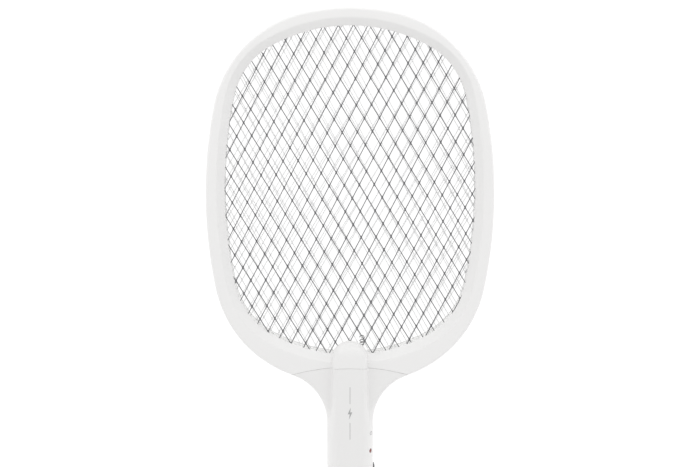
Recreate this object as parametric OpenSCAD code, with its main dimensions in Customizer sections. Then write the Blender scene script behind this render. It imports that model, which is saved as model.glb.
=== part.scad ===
// Electric fly swatter, lying on its back.
// +Y runs along the handle towards the head, +Z points out of the front mesh, +X to the switch side.
// The origin is under the middle of the whole outline, on the plane that the back rests on.

/* [Head] */
// Width of the head across the rim
head_w = 210; // [206:1:214]
// Height of the whole oval that the rim follows
head_h = 276.6; // [272:0.2:280]
// Radius of the long side arcs
side_r = 341; // [336:1:346]
// Radius of the top and bottom arcs
end_r = 150; // [147:1:153]
// Radius of the corner arcs between them
corner_r = 86.4; // [85:0.2:88]
// Thickness of the head from back face to front face
head_t = 22; // [22:0.5:23]
// Radius of the rim's rounded outer edge
rim_round = 3.5; // [3:0.5:4]
// Wall thickness of the rim and of the handle shells
wall = 2; // [1.8:0.1:2.2]

/* [Mesh] */
// Width of the mesh opening
mesh_w = 182.7; // [180:0.1:184]
// Height of the mesh opening
mesh_h = 242; // [240:1:244]
// Radius of the mesh opening's top and bottom arcs
mesh_end_r = 117.5; // [115:0.5:120]
// Radius of the mesh opening's corner arcs
mesh_corner_r = 55; // [53:1:57]
// How far the mesh opening sits above the middle of the head
mesh_up = 4; // [3:0.5:5]
// Width of the sloping face round the mesh opening
bevel_w = 5.8; // [5:0.2:6.4]
// Thickness of each metal mesh
mesh_t = 0.5; // [0.4:0.1:0.6]
// Width of one diamond of the front and back mesh
cell_w = 10.95; // [10.5:0.05:11.5]
// Length of one diamond of the front and back mesh
cell_l = 19.4; // [18.5:0.1:20.5]
// Width of one diamond of the middle mesh
mid_cell_w = 10.6; // [10.2:0.1:11]
// Length of one diamond of the middle mesh
mid_cell_l = 18.7; // [18:0.1:19.5]
// Share of a diamond that is open
cell_open = 0.9; // [0.86:0.01:0.92]
// Turn of the front mesh in its frame
front_turn = 2.1; // [0:0.1:3]
// Turn of the back mesh in its frame
back_turn = -1.4; // [-3:0.1:0]

/* [Handle] */
// Length of the whole swatter
total_l = 490; // [480:1:500]
// Width of the handle
handle_w = 34.1; // [33.5:0.1:35]
// Thickness of the handle
handle_t = 27; // [26.5:0.5:28]
// Rounding of the handle's front edges
front_round = 11; // [10:0.5:11.5]
// Rounding of the handle's back edges
back_round = 8; // [7:0.5:9]
// Radius of the hollow sides of the neck
neck_r = 38; // [37:0.5:39]
// Distance of the seam between head and neck from the origin, towards the tail
seam_y = 18.8; // [18:0.1:20]
// Radius of the curved seam
seam_r = 159; // [150:1:170]
// Half width of the raised rib that ends in the dome over the rim
rib_w = 13.2; // [12.8:0.1:13.6]
// Distance of the dome's centre from the origin, towards the tail
dome_y = 12.2; // [12:0.1:13]
// Length of the tail cap
tail_l = 10; // [9.5:0.5:11]
// Radius of the hanging hole
hang_r = 2.5; // [2:0.1:3]

/* [Electrics] */
// Radius of the rechargeable cell
cell_r = 9; // [8.5:0.1:9]
// Length of the rechargeable cell
cell_len = 65; // [64:0.5:65]
// Radius of a plug pin
pin_r = 2; // [2:0.1:2.4]
// Distance between the two plug pins
pin_gap = 19; // [18:0.5:19]
// Travel of the hidden plug
plug_travel = 20; // [18:1:20]
// Travel of the trigger button
press = 1.5; // [1.2:0.1:1.6]
// Travel of the mode switch
switch_travel = 4; // [3:0.5:4]

/* [Hidden] */
shell_colour = "#eceae6";
handle_colour = "#e4e3e0";
mesh_colour = "#55565a";
bright_mesh_colour = "#a9abae";
steel_colour = "#b9bbbe";
dark_colour = "#2e2f31";
fine = 180;
arc_steps = 12;

part_z = head_t / 2;
tail_y = -total_l / 2;
head_y = total_l / 2 - head_h / 2;
half_w = handle_w / 2;
mid_z = handle_t / 2;
lip_z = head_t - bevel_w + 0.3;
bevel_z = lip_z + 0.7;
cap_y = tail_y + tail_l;
fit_gap = 0.3;
pocket_w = 5;
pocket_wall = 6.6;
flat_fall = 0.1;
mesh_edge = pocket_w - 0.4;
spacer_edge = 0.3;
seam_gap = 0.15;
fillet_x = half_w + neck_r;
fillet_y = head_y - head_h / 2 + end_r - sqrt(pow(end_r + neck_r, 2) - pow(fillet_x, 2));
seam_centre_y = -seam_y - seam_r;
tab_w = 17.5;
tab_t = 2;
tab_y = -46;
neck_screw = [13, -40];
shell_screws = [[12, -140], [12, -197]];
screw_r = 1.2;
pilot_r = screw_r + 0.02;
clear_r = 1.5;
screw_inset = 4.6;
rim_post_r = 2.8;
rim_boss_r = 3.1;
shell_post_r = 2.6;
shell_boss_r = 3.4;
rib_round = 5;
tab_top_y = -16.2;
duct = [[-10, -24, part_z + tab_t], [10, -17, head_t]];
screw_head_r = 2.3;
recess_r = 2.5;
recess_d = 3;
board_z = 10;
board_top = 11.6;
board_y = [-131, -68];
button_y = -118;
button_r = 6;
flange_r = 7.2;
flange_z = handle_t - wall - 0.4;
spring_z = 15.2;
spring_top = 23;
knob_y = -101;
knob_z = 14;
lens_y = -82.2;
lens_r = 1.6;
lens_turn = 32;
led_r = 1.5;
led_l = 5.5;
cell_y = -135;
carrier_y = -203;
carrier_l = 8;
pin_tip_y = tail_y + 2;
slider_neck = 6;
contact_x = 8.8;
contact_y = -7;
contact_r = 1.9;
lead_r = 0.8;
lead_z = 14.3;
lead_start_y = -69.6;
lead_hole_r = 1.4;
strap_x = -11;
strap_y = -14.3;
strap_half = 2;
notch_half = 4;
knob_half = 3;
cap_half = 7;
slot_z = [12.7, 15.3];
thumb_half = 2.5;
shell_top = head_t - wall;

// An oval is [half width, half height, side radius, end radius, corner radius, centre Y].
rim_oval = [head_w / 2, head_h / 2, side_r, end_r, corner_r, head_y];
mesh_oval = [mesh_w / 2, mesh_h / 2, side_r, mesh_end_r, mesh_corner_r, head_y + mesh_up];

function side_centre(o) = [o[0] - o[2], 0];
function end_centre(o) = [0, o[1] - o[3]];
function centre_gap(o) = norm(end_centre(o) - side_centre(o));
function along(o) = (pow(o[2] - o[4], 2) - pow(o[3] - o[4], 2) + pow(centre_gap(o), 2)) / (2 * centre_gap(o));
function across(o) = sqrt(pow(o[2] - o[4], 2) - pow(along(o), 2));
function towards(o) = (end_centre(o) - side_centre(o)) / centre_gap(o);
// Centre of the corner arc that touches both the side arc and the end arc
function corner_centre(o) = side_centre(o) + along(o) * towards(o) + across(o) * [-towards(o).y, towards(o).x];
function side_angle(o) = atan2(corner_centre(o).y, corner_centre(o).x - side_centre(o).x);
function end_angle(o) = atan2(corner_centre(o).y - end_centre(o).y, corner_centre(o).x);
// The eight arcs of an oval, each [centre, radius, start angle, sweep]
function arcs(o) = let (s = side_angle(o), e = end_angle(o), c = corner_centre(o)) [
    [side_centre(o), o[2], -s, 2 * s],
    [c, o[4], s, e - s],
    [end_centre(o), o[3], e, 180 - 2 * e],
    [[-c.x, c.y], o[4], 180 - e, e - s],
    [-side_centre(o), o[2], 180 - s, 2 * s],
    [-c, o[4], 180 + s, e - s],
    [-end_centre(o), o[3], 180 + e, 180 - 2 * e],
    [[c.x, -c.y], o[4], 360 - e, e - s]];
function polar(r, a) = [r * cos(a), r * sin(a)];
// Point of an arc at a share of its sweep, moved outwards by grow
function arc_point(k, share, grow) = k[0] + polar(k[1] + grow, k[2] + share * k[3]);
function turned(p, a) = [p.x * cos(a) - p.y * sin(a), p.x * sin(a) + p.y * cos(a)];
// Points of a quarter round of radius r about c, from angle a on
function quarter(c, r, a) = [for (i = [0:5]) c + polar(r, a + 18 * i)];

// Points of a whole oval, moved outwards by grow
function oval_points(o, grow) =
    [for (k = arcs(o), i = [0 : arc_steps - 1]) arc_point(k, i / arc_steps, grow) + [0, o[5]]];

// Closed ring whose section is a loop of corners, each [oval, distance outside it, height]
module swept_ring(section) {
    n = 8 * arc_steps;
    m = len(section);
    points = [for (c = section, p = oval_points(c[0], c[1])) [p.x, p.y, c[2]]];
    faces = [for (j = [0 : m - 1], i = [0 : n - 1])
        [j * n + i, ((j + 1) % m) * n + i, ((j + 1) % m) * n + (i + 1) % n, j * n + (i + 1) % n]];
    polyhedron(points, faces);
}

module oval(o, grow) {
    polygon(oval_points(o, grow));
}

// A section drawn as X and Z, run along Y from y0 up to y1
module run_y(y0, y1) {
    translate([0, y1, 0]) rotate([90, 0, 0]) linear_extrude(y1 - y0) children();
}

module cyl_y(r, y0, y1, x, z) {
    translate([x, y1, z]) rotate([90, 0, 0]) cylinder(r = r, h = y1 - y0, $fn = 48);
}

module cyl_x(r, x0, x1, y, z) {
    translate([x0, y, z]) rotate([0, 90, 0]) cylinder(r = r, h = x1 - x0, $fn = 48);
}

module post(p, r, z0, z1) {
    translate([p.x, p.y, z0]) cylinder(r = r, h = z1 - z0, $fn = 48);
}

module block(lo, hi) {
    translate(lo) cube(hi - lo);
}

function unit(v) = v / norm(v);
// Direction of a wire at its point i
function heading(pts, i) = unit(
    (i == 0 ? [0, 0, 0] : unit(pts[i] - pts[i - 1]))
    + (i == len(pts) - 1 ? [0, 0, 0] : unit(pts[i + 1] - pts[i])));

// A wire through its points, none of its stretches running along X
module wire(pts, r) {
    n = 10;
    last = len(pts) - 1;
    rings = [for (i = [0 : last], a = [0 : n - 1])
        let (t = heading(pts, i), u = unit(cross(t, [1, 0, 0])))
            pts[i] + r * (cos(a * 360 / n) * u + sin(a * 360 / n) * cross(t, u))];
    polyhedron(rings, concat(
        [[for (a = [0 : n - 1]) n - 1 - a], [for (a = [0 : n - 1]) last * n + a]],
        [for (i = [0 : last - 1], a = [0 : n - 1])
            [i * n + a, i * n + (a + 1) % n, (i + 1) * n + (a + 1) % n, (i + 1) * n + a]]));
}

// Every place with both a left and a right copy
module both(p) {
    for (side = [-1, 1]) translate([side * p.x, p.y, 0]) children();
}

// Middles of the rim's arcs, leaving out the bottom one where the handle joins
function rim_screw_places() = let (k = arcs(rim_oval))
    [for (i = [0, 1, 2, 3, 4, 5, 7]) arc_point(k[i], 0.5, -screw_inset) + [0, head_y]];

module seam_cylinder(gap) {
    translate([0, seam_centre_y, -1]) cylinder(r = seam_r + gap, h = handle_t + 2, $fn = 2 * fine);
}

module rib_section(inset, z0) {
    flat = rib_w - rib_round;
    translate([inset - rib_w, z0]) square([2 * (rib_w - inset), handle_t - rib_round - z0]);
    translate([-flat, z0]) square([2 * flat, handle_t - inset - z0]);
    for (side = [-1, 1])
        translate([side * flat, handle_t - rib_round]) circle(r = rib_round - inset, $fn = 48);
}

module dome(inset, z0) {
    flat = rib_w - rib_round;
    translate([0, -dome_y, 0]) rotate_extrude(angle = 180, $fn = 96) {
        translate([0, z0]) square([rib_w - inset, handle_t - rib_round - z0]);
        translate([0, z0]) square([flat, handle_t - inset - z0]);
        translate([flat, handle_t - rib_round]) circle(r = rib_round - inset, $fn = 48);
    }
}

// Front half of the rim: outer wall, flat top, sloping face and the pocket that holds the meshes
module rim_half() {
    top = head_t - wall;
    round_c = [-rim_round, head_t - rim_round];
    swept_ring(concat([[rim_oval, 0, part_z]],
        [for (q = quarter(round_c, rim_round, 0)) [rim_oval, q.x, q.y]],
        [[mesh_oval, bevel_w, head_t - flat_fall], [mesh_oval, 0, bevel_z], [mesh_oval, 0, lip_z],
            [mesh_oval, pocket_w, lip_z], [mesh_oval, pocket_w, part_z], [mesh_oval, pocket_wall, part_z],
            [mesh_oval, pocket_wall, top], [rim_oval, -wall, top], [rim_oval, -wall, part_z]]));
}

module head_front_ring() {
    color(shell_colour) difference() {
        union() {
            difference() {
                rim_half();
                seam_cylinder(seam_gap);
            }
            for (p = rim_screw_places()) post(p, rim_post_r, part_z, shell_top + 0.5);
            block([-tab_w, tab_y, part_z], [tab_w, tab_top_y, part_z + tab_t]);
            difference() {
                union() {
                    dome(0, lip_z);
                    run_y(-26, -dome_y) rib_section(0, lip_z);
                }
                seam_cylinder(seam_gap);
            }
        }
        for (p = rim_screw_places()) post(p, pilot_r, part_z - 1, shell_top - 1);
        both(neck_screw) cylinder(r = clear_r, h = head_t, $fn = 32);
        dome(wall, lip_z + wall);
        run_y(-30, -dome_y) rib_section(wall, lip_z + wall);
        block(duct[0], duct[1]);
        post([contact_x, contact_y], lead_hole_r, lip_z - 1, lip_z + wall + 1);
        cyl_y(lead_hole_r, tab_top_y - 2, strap_y, strap_x, lead_z);
    }
}

module head_back_ring() {
    color(shell_colour) difference() {
        union() {
            difference() {
                translate([0, 0, head_t]) mirror([0, 0, 1]) rim_half();
                seam_cylinder(seam_gap);
            }
            for (p = rim_screw_places()) post(p, rim_boss_r, 0.5, part_z);
            block([-tab_w, tab_y, part_z - tab_t], [tab_w, tab_top_y, part_z]);
        }
        for (p = rim_screw_places()) {
            post(p, recess_r, -1, recess_d);
            post(p, clear_r, -1, part_z + 1);
        }
        both(neck_screw) cylinder(r = clear_r, h = head_t, $fn = 32);
    }
}

// Diamond holes of one mesh, turned about the middle of the opening
module diamonds(w, l, turn) {
    cells = [for (i = [-10:10], j = [-8:8], h = [0, 0.5]) [(i + h) * w, (j + h) * l]];
    near = [for (c = cells) if (norm([c.x / (mesh_w / 2 + w), c.y / (mesh_h / 2 + l)]) < 1.08) c];
    corners = 0.5 * cell_open * [[w, 0], [0, l], [-w, 0], [0, -l]];
    points = [for (c = near, q = corners) turned(c + q, turn) + [0, mesh_oval[5]]];
    polygon(points, [for (n = [0 : len(near) - 1]) [for (i = [0:3]) 4 * n + i]]);
}

module mesh_sheet(z, w, l, turn) {
    translate([0, 0, z]) linear_extrude(mesh_t) difference() {
        oval(mesh_oval, mesh_edge);
        intersection() {
            oval(mesh_oval, 0.8);
            diamonds(w, l, turn);
        }
        projection() post_room();
    }
}

module front_grid() {
    color(mesh_colour) difference() {
        mesh_sheet(lip_z - mesh_t, cell_w, cell_l, front_turn);
        post([contact_x, contact_y], lead_hole_r + 0.2, part_z, head_t);
    }
}

module strap_notch() {
    block([strap_x - notch_half, strap_y - wall - notch_half, 0],
        [strap_x + notch_half, strap_y + 0.9, head_t]);
}

// Room for the rim's screw posts where they reach past the pocket
module post_room() {
    for (p = rim_screw_places()) post(p, rim_boss_r + fit_gap, 0, head_t);
}

module middle_grid() {
    color(bright_mesh_colour) difference() {
        mesh_sheet(part_z - mesh_t / 2, mid_cell_w, mid_cell_l, 0);
        strap_notch();
    }
}

module back_grid() {
    color(mesh_colour) mesh_sheet(head_t - lip_z, cell_w, cell_l, back_turn);
}

module spacer(z0, z1) {
    difference() {
        translate([0, 0, z0]) linear_extrude(z1 - z0)
            difference() {
                oval(mesh_oval, mesh_edge);
                oval(mesh_oval, spacer_edge);
            }
        strap_notch();
        post_room();
    }
}

module front_spacer_ring() {
    color("#d8d6d0") spacer(part_z + mesh_t / 2, lip_z - mesh_t);
}

module back_spacer_ring() {
    color("#d8d6d0") spacer(head_t - lip_z + mesh_t, part_z - mesh_t / 2);
}

// A pan-head screw with a cross slot, its head down in a recess and its tip up
module screw(depth, top) {
    head_h = 1.7;
    difference() {
        union() {
            translate([0, 0, depth - head_h]) cylinder(r = screw_head_r, h = head_h, $fn = 32);
            translate([0, 0, depth]) cylinder(r = screw_r, h = top - depth, $fn = 24);
        }
        for (a = [0, 90])
            rotate(a) translate([-1.6, -0.3, depth - head_h - 1]) cube([3.2, 0.6, 1.8]);
    }
}

module rim_screws() {
    color(steel_colour)
        for (p = rim_screw_places()) translate([p.x, p.y, 0]) screw(recess_d, shell_top - 2);
}

module hv_contact_spring() {
    color(mesh_colour) difference() {
        cyl_y(contact_r, contact_y + 0.9, contact_y + 11, contact_x, part_z + mesh_t / 2 + contact_r);
        cyl_y(1.2, contact_y + 0.5, contact_y + 12, contact_x, part_z + mesh_t / 2 + contact_r);
    }
}

module ground_contact_strap() {
    color(steel_colour)
        block([strap_x - strap_half, strap_y, head_t - lip_z + mesh_t],
            [strap_x + strap_half, strap_y + 0.5, lip_z - mesh_t]);
}

module hv_lead() {
    color("#b5322a")
        wire([[-4, lead_start_y, board_top], [-4, lead_start_y, 13], [-4, -60, 17], [-4, -34, 19],
            [contact_x, -14, 20.6], [contact_x, contact_y, 20.6], [contact_x, contact_y, 13.4]], lead_r);
}

module ground_lead() {
    color(dark_colour)
        wire([[5, lead_start_y, board_top], [5, lead_start_y, 12.8], [5, -60, lead_z],
            [strap_x, -30, lead_z], [strap_x, strap_y, lead_z]], lead_r);
}

// Outline of the handle across its length, drawn as X and Z
module handle_section(inset) {
    lo = back_round;
    hi = handle_t - front_round;
    for (side = [-1, 1]) {
        translate([side * (half_w - front_round), hi]) circle(r = front_round - inset, $fn = 96);
        translate([side * (half_w - back_round), lo]) circle(r = back_round - inset, $fn = 96);
    }
    translate([inset - half_w, lo]) square([2 * (half_w - inset), hi - lo]);
    translate([front_round - half_w, lo]) square([2 * (half_w - front_round), handle_t - inset - lo]);
    translate([back_round - half_w, inset]) square([2 * (half_w - back_round), lo - inset + 1]);
}

// Plan of the neck, from the handle to the seam
module neck_plan(inset) {
    difference() {
        translate([-fillet_x, fillet_y]) square([2 * fillet_x, -seam_y - fillet_y]);
        for (side = [-1, 1])
            translate([side * fillet_x, fillet_y]) circle(r = neck_r + inset, $fn = 2 * fine);
    }
}

module neck(inset, z0, z1) {
    intersection() {
        translate([0, 0, z0]) linear_extrude(z1 - z0) neck_plan(inset);
        seam_cylinder(0);
    }
}

module handle_outside() {
    run_y(cap_y, fillet_y) handle_section(0);
    neck(0, 0, head_t);
    intersection() {
        run_y(fillet_y - 1, -seam_y + 1) rib_section(0, part_z);
        seam_cylinder(0);
    }
}

module handle_hollow() {
    run_y(cap_y - 1, fillet_y + wall) handle_section(wall);
    translate([0, 0, wall]) linear_extrude(head_t - 2 * wall)
        union() {
            neck_plan(wall);
            translate([wall - half_w, fillet_y - 1]) square([2 * (half_w - wall), 4]);
            translate([-30, -seam_y - 6]) square([60, 7]);
        }
    run_y(fillet_y - 1, 0) rib_section(wall, part_z - 1);
}

module handle_half(front) {
    z0 = front ? part_z : -1;
    intersection() {
        difference() {
            handle_outside();
            handle_hollow();
        }
        translate([-60, cap_y - 1, z0]) cube([120, 240, front ? handle_t : part_z + 1]);
    }
}

module handle_front_shell() {
    neck_z = part_z + tab_t;
    color(handle_colour) difference() {
        union() {
            handle_half(true);
            both(neck_screw) post([0, 0], shell_post_r, neck_z, shell_top + 0.5);
            for (p = shell_screws) both(p) post([0, 0], shell_post_r, part_z, head_t);
        }
        both(neck_screw) post([0, 0], pilot_r, neck_z - 1, shell_top);
        for (p = shell_screws) both(p) post([0, 0], pilot_r, part_z - 1, shell_top);
        post([0, button_y], button_r + fit_gap, part_z, handle_t + 1);
        block([half_w - 3, knob_y - knob_half - fit_gap, slot_z[0]],
            [half_w + 1, knob_y + knob_half + switch_travel + fit_gap, slot_z[1]]);
        on_shoulder() cyl_x(lens_r + 0.05, front_round - wall - 1, front_round + 1, 0, 0);
        block([-thumb_half - fit_gap, carrier_y - 1 - slider_neck - plug_travel - fit_gap, shell_top],
            [thumb_half + fit_gap, carrier_y - 1 + fit_gap, handle_t + 1]);
    }
}

module handle_back_shell() {
    cradle_y = [-150, -185];
    color(handle_colour) difference() {
        union() {
            handle_half(false);
            both(neck_screw) post([0, 0], shell_boss_r, 0, part_z - tab_t);
            for (p = shell_screws) both(p) post([0, 0], shell_boss_r, 1, part_z);
            for (y = cradle_y)
                difference() {
                    block([-13, y - 1, 1], [13, y + 1, part_z]);
                    cyl_y(cell_r + 0.1, y - 2, y + 2, 0, mid_z);
                }
            for (y = board_y + [5, -5]) both([8, y]) post([0, 0], 1.8, 1, board_z);
        }
        both(neck_screw) post([0, 0], recess_r, -1, recess_d);
        both(neck_screw) post([0, 0], clear_r, -1, part_z);
        for (p = shell_screws) {
            both(p) post([0, 0], recess_r, -1, recess_d);
            both(p) post([0, 0], clear_r, -1, part_z + 1);
        }
        cyl_y(cell_r + 0.1, cell_y - cell_len - 0.6, cell_y + 0.1, 0, mid_z);
    }
}

module tail_cap() {
    color(handle_colour) difference() {
        union() {
            run_y(tail_y, cap_y) handle_section(0);
            run_y(cap_y - 1, cap_y + 3) handle_section(wall + fit_gap);
        }
        for (side = [-1, 1]) cyl_y(pin_r + 0.08, tail_y - 1, cap_y + 4, side * pin_gap / 2, mid_z);
        post([0, tail_y + tail_l / 2], hang_r, -1, handle_t + 1);
    }
}

module handle_screws() {
    color(steel_colour) {
        both(neck_screw) screw(recess_d, shell_top - 1);
        for (p = shell_screws) both(p) screw(recess_d, shell_top - 1);
    }
}

module circuit_board() {
    color("#2f6b3a") difference() {
        block([-12.5, board_y[0], board_z], [12.5, board_y[1], board_top]);
        both([10.5, board_y[0] + 2.5]) cylinder(r = 1, h = head_t, $fn = 24);
    }
}

module hv_transformer() {
    x = -4;
    y = -77;
    color("#3a3b3d") {
        translate([x - 6, y - 6, board_top]) cube([12, 12, 2.8]);
        translate([x - 6, y - 6, board_top + 7.4]) cube([12, 12, 2.6]);
    }
    color("#c58b3a") post([x, y], 5.4, board_top + 2.8, board_top + 7.4);
}

module hv_capacitor() {
    color("#b23b2e") block([4.6, -80, board_top], [10.4, -70.6, board_top + 9]);
}

module charging_capacitor() {
    color("#8e3430") block([-11, -128, board_top], [-5, -108, board_top + 8]);
}

module rectifier_diodes() {
    color(dark_colour)
        for (x = [-9, -5, -1]) cyl_y(1.3, -93, -88, x, board_top + 1.3);
}

module drive_transistor() {
    color(dark_colour) intersection() {
        post([-7, -100], 2.6, board_top, board_top + 6);
        block([-10, -101.3, board_top], [-4, -96, board_top + 6]);
    }
}

module discharge_resistor() {
    color("#c9b48a") cyl_y(1.2, -103, -96, 0, board_top + 1.2);
}

module tact_switch() {
    color(dark_colour) {
        block([-3, button_y - 3, board_top], [3, button_y + 3, spring_z]);
        post([0, button_y], 1.6, spring_z, 16.5);
    }
}

module slide_switch_body() {
    color(steel_colour) difference() {
        block([6, knob_y - 9, board_top], [13.2, knob_y + 9, 16.6]);
        block([10.8, knob_y - knob_half - 0.6, slot_z[0] - 0.1],
            [14, knob_y + knob_half + switch_travel + 0.6, slot_z[1] + 0.1]);
    }
}

module slide_switch_knob() {
    color(dark_colour) {
        block([11.2, knob_y - knob_half, slot_z[0] + fit_gap],
            [half_w + 0.4, knob_y + knob_half, slot_z[1] - fit_gap]);
        block([half_w + 0.3, knob_y - cap_half, knob_z - 3.5], [half_w + 1.3, knob_y + cap_half, knob_z + 3.5]);
    }
}

// Places what follows on the axis that leaves the front edge's rounding at the indicator lamp
module on_shoulder() {
    translate([half_w - front_round, lens_y, handle_t - front_round]) rotate([0, -lens_turn, 0]) children();
}

module fire_button() {
    color(dark_colour) {
        post([0, button_y], button_r, flange_z - 1, handle_t + 1.2);
        post([0, button_y], flange_r, flange_z - 1.5, flange_z);
        post([0, button_y], 1.5, 16.5 + press + 0.1, flange_z - 1);
    }
}

module button_spring() {
    color(steel_colour) difference() {
        post([0, button_y], 3, spring_z, spring_top);
        post([0, button_y], 2.2, spring_z - 1, spring_top + 1);
    }
}

module indicator_led() {
    top = front_round - wall - 0.4;
    color("#a8201c") {
        on_shoulder() cyl_x(led_r, top - led_l, top, 0, 0);
        for (side = [-1, 1]) post([9.5, lens_y + side], 0.3, board_top, 17.5);
    }
}

module indicator_lens() {
    color("#8c1f1b") on_shoulder() cyl_x(lens_r, front_round - wall - 0.3, front_round + 0.1, 0, 0);
}

module battery_cell() {
    color("#3f7f9f") {
        cyl_y(cell_r, cell_y - cell_len, cell_y - 0.8, 0, mid_z);
        cyl_y(3, cell_y - 0.9, cell_y, 0, mid_z);
    }
}

module battery_contacts() {
    color(steel_colour)
        for (y = [cell_y, cell_y - cell_len - 0.5])
            block([-5, y, 6], [5, y + 0.5, 21]);
}

module plug_carrier() {
    x = pin_gap / 2;
    color("#f2f1ee") difference() {
        union() {
            block([-13, carrier_y - carrier_l, 8.5], [13, carrier_y, 18.5]);
            block([-thumb_half, carrier_y - 1 - slider_neck, 18], [thumb_half, carrier_y - 1, handle_t + 0.3]);
        }
        for (side = [-1, 1]) cyl_y(pin_r, carrier_y - carrier_l - 1, carrier_y - 3, side * x, mid_z);
    }
}

module plug_pins() {
    color("#c9a94f")
        for (side = [-1, 1]) {
            cyl_y(pin_r, pin_tip_y + pin_r, carrier_y - 3, side * pin_gap / 2, mid_z);
            translate([side * pin_gap / 2, pin_tip_y + pin_r, mid_z]) sphere(r = pin_r, $fn = 48);
        }
}

module plug_thumb_slider() {
    color(dark_colour) difference() {
        block([-5.5, carrier_y - 10, handle_t + 0.3], [5.5, carrier_y + 2, handle_t + 1.2]);
        for (i = [0:3]) translate([0, carrier_y - 8 + 2.4 * i, 0])
            block([-6, -0.4, handle_t + 0.9], [6, 0.4, handle_t + 2]);
    }
}

module plug_contact_springs() {
    x = pin_gap / 2;
    color("#c9a94f")
        for (side = [-1, 1]) {
            translate([side * x - 1.5, -228, 7]) cube([3, 14, 0.5]);
            translate([side * x - 1.5, -214.5, 2.2]) cube([3, 0.5, 5.3]);
        }
}

head_front_ring();
head_back_ring();
front_grid();
middle_grid();
back_grid();
front_spacer_ring();
back_spacer_ring();
rim_screws();
hv_contact_spring();
ground_contact_strap();
hv_lead();
ground_lead();
handle_front_shell();
handle_back_shell();
tail_cap();
handle_screws();
circuit_board();
hv_transformer();
hv_capacitor();
charging_capacitor();
rectifier_diodes();
drive_transistor();
discharge_resistor();
tact_switch();
slide_switch_body();
slide_switch_knob();
fire_button();
button_spring();
indicator_led();
indicator_lens();
battery_cell();
battery_contacts();
plug_carrier();
plug_pins();
plug_thumb_slider();
plug_contact_springs();
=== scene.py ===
import math

import bmesh
import bpy
from mathutils import Matrix, Vector


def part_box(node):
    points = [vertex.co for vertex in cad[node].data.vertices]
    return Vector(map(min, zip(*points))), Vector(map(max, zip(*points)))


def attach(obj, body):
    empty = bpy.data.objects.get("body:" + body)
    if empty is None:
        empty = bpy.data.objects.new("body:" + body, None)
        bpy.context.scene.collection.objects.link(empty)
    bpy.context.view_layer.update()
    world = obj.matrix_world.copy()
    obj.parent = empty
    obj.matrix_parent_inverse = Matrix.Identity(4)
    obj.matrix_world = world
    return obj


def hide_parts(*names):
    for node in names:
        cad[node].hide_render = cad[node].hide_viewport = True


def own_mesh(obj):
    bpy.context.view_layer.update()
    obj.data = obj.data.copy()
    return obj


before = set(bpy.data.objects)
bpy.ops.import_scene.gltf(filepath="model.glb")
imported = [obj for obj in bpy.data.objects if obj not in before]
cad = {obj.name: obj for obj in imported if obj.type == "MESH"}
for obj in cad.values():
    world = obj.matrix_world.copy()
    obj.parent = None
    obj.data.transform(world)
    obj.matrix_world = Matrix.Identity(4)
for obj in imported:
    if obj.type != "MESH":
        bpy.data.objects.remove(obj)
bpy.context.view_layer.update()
mm = 0.001


# places read from the frame, in millimetres
def corner(node, which):
    return [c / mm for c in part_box(node)[which]]


partZ = corner("head_back_ring", 1)[2]  # parting plane of head and handle
headThick = 2 * partZ
halfHead = corner("head_front_ring", 1)[0]
headTop = corner("head_front_ring", 1)[1]
frontZ = corner("tail_cap", 1)[2]  # front of the handle
halfHandle = corner("tail_cap", 1)[0]
tailEnd = corner("tail_cap", 0)[1]
shellEnd = corner("handle_front_shell", 0)[1]
gridFront = corner("front_grid", 1)[2]
gridMiddle = sum(corner("middle_grid", i)[2] for i in (0, 1)) / 2
gridBack = corner("back_grid", 0)[2]

# the rim's outer line and the mesh opening: half sizes, arc radii, centre
rim = {"halfWidth": halfHead, "halfHeight": 138.3, "sideRadius": 341.0, "endRadius": 150.0,
       "cornerRadius": 86.4, "centre": headTop - 138.3}
opening = {"halfWidth": 91.35, "halfHeight": 121.0, "sideRadius": 341.0, "endRadius": 117.5,
           "cornerRadius": 55.0, "centre": rim["centre"] + 4.0}
neck = {"radius": 38.0, "seamTop": -18.8, "seamRadius": 159.0, "seamGap": 0.16, "plateRound": 3.5,
        "blendLow": -66.0, "blendHigh": -46.0}
neck["filletX"] = halfHandle + neck["radius"]
neck["filletY"] = (rim["centre"] - rim["halfHeight"] + rim["endRadius"]
                   - math.sqrt((rim["endRadius"] + neck["radius"]) ** 2 - neck["filletX"] ** 2))
rib = {"halfWidth": 13.2, "round": 5.0, "foot": 1.3, "footAngle": 12}
grip = {"frontRound": 11.0, "backRound": 8.0, "wall": 2.0, "ease": 0.22}


# shader and geometry nodes written as expressions
class Wire:
    # one output socket of a tree; arithmetic on it adds Math nodes
    def __init__(self, tree, socket):
        self.tree, self.socket = tree, socket

    def math(self, operation, *others):
        return node(self.tree, "ShaderNodeMath", {"operation": operation},
                    dict(enumerate((self,) + others)))

    def __add__(self, other):
        return self.math("ADD", other)

    __radd__ = __add__

    def __mul__(self, other):
        return self.math("MULTIPLY", other)

    __rmul__ = __mul__

    def __sub__(self, other):
        return self.math("SUBTRACT", other)

    def __rsub__(self, other):
        return (self * -1.0).math("ADD", other)

    def __truediv__(self, other):
        return self.math("DIVIDE", other)


def node(tree, kind, settings=None, sockets=None, out=0):
    # adds any node: settings first, then values or links of its sockets
    made = tree.nodes.new(kind)
    for key, value in (settings or {}).items():
        setattr(made, key, value)
    for key, value in (sockets or {}).items():
        socket = made.inputs[key]
        if isinstance(value, Wire):
            tree.links.new(value.socket, socket)
        elif value is not None:
            socket.default_value = value
    return Wire(tree, made.outputs[out]) if made.outputs else None


def outputs(wire, name):
    return Wire(wire.tree, wire.socket.node.outputs[name])


def vectorMath(tree, operation, a, b=None, scale=None):
    sockets = {0: a}
    if b is not None:
        sockets[1] = b
    if scale is not None:
        sockets["Scale"] = scale
    out = "Value" if operation in ("DOT_PRODUCT", "LENGTH") else "Vector"
    return node(tree, "ShaderNodeVectorMath", {"operation": operation}, sockets, out)


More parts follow.
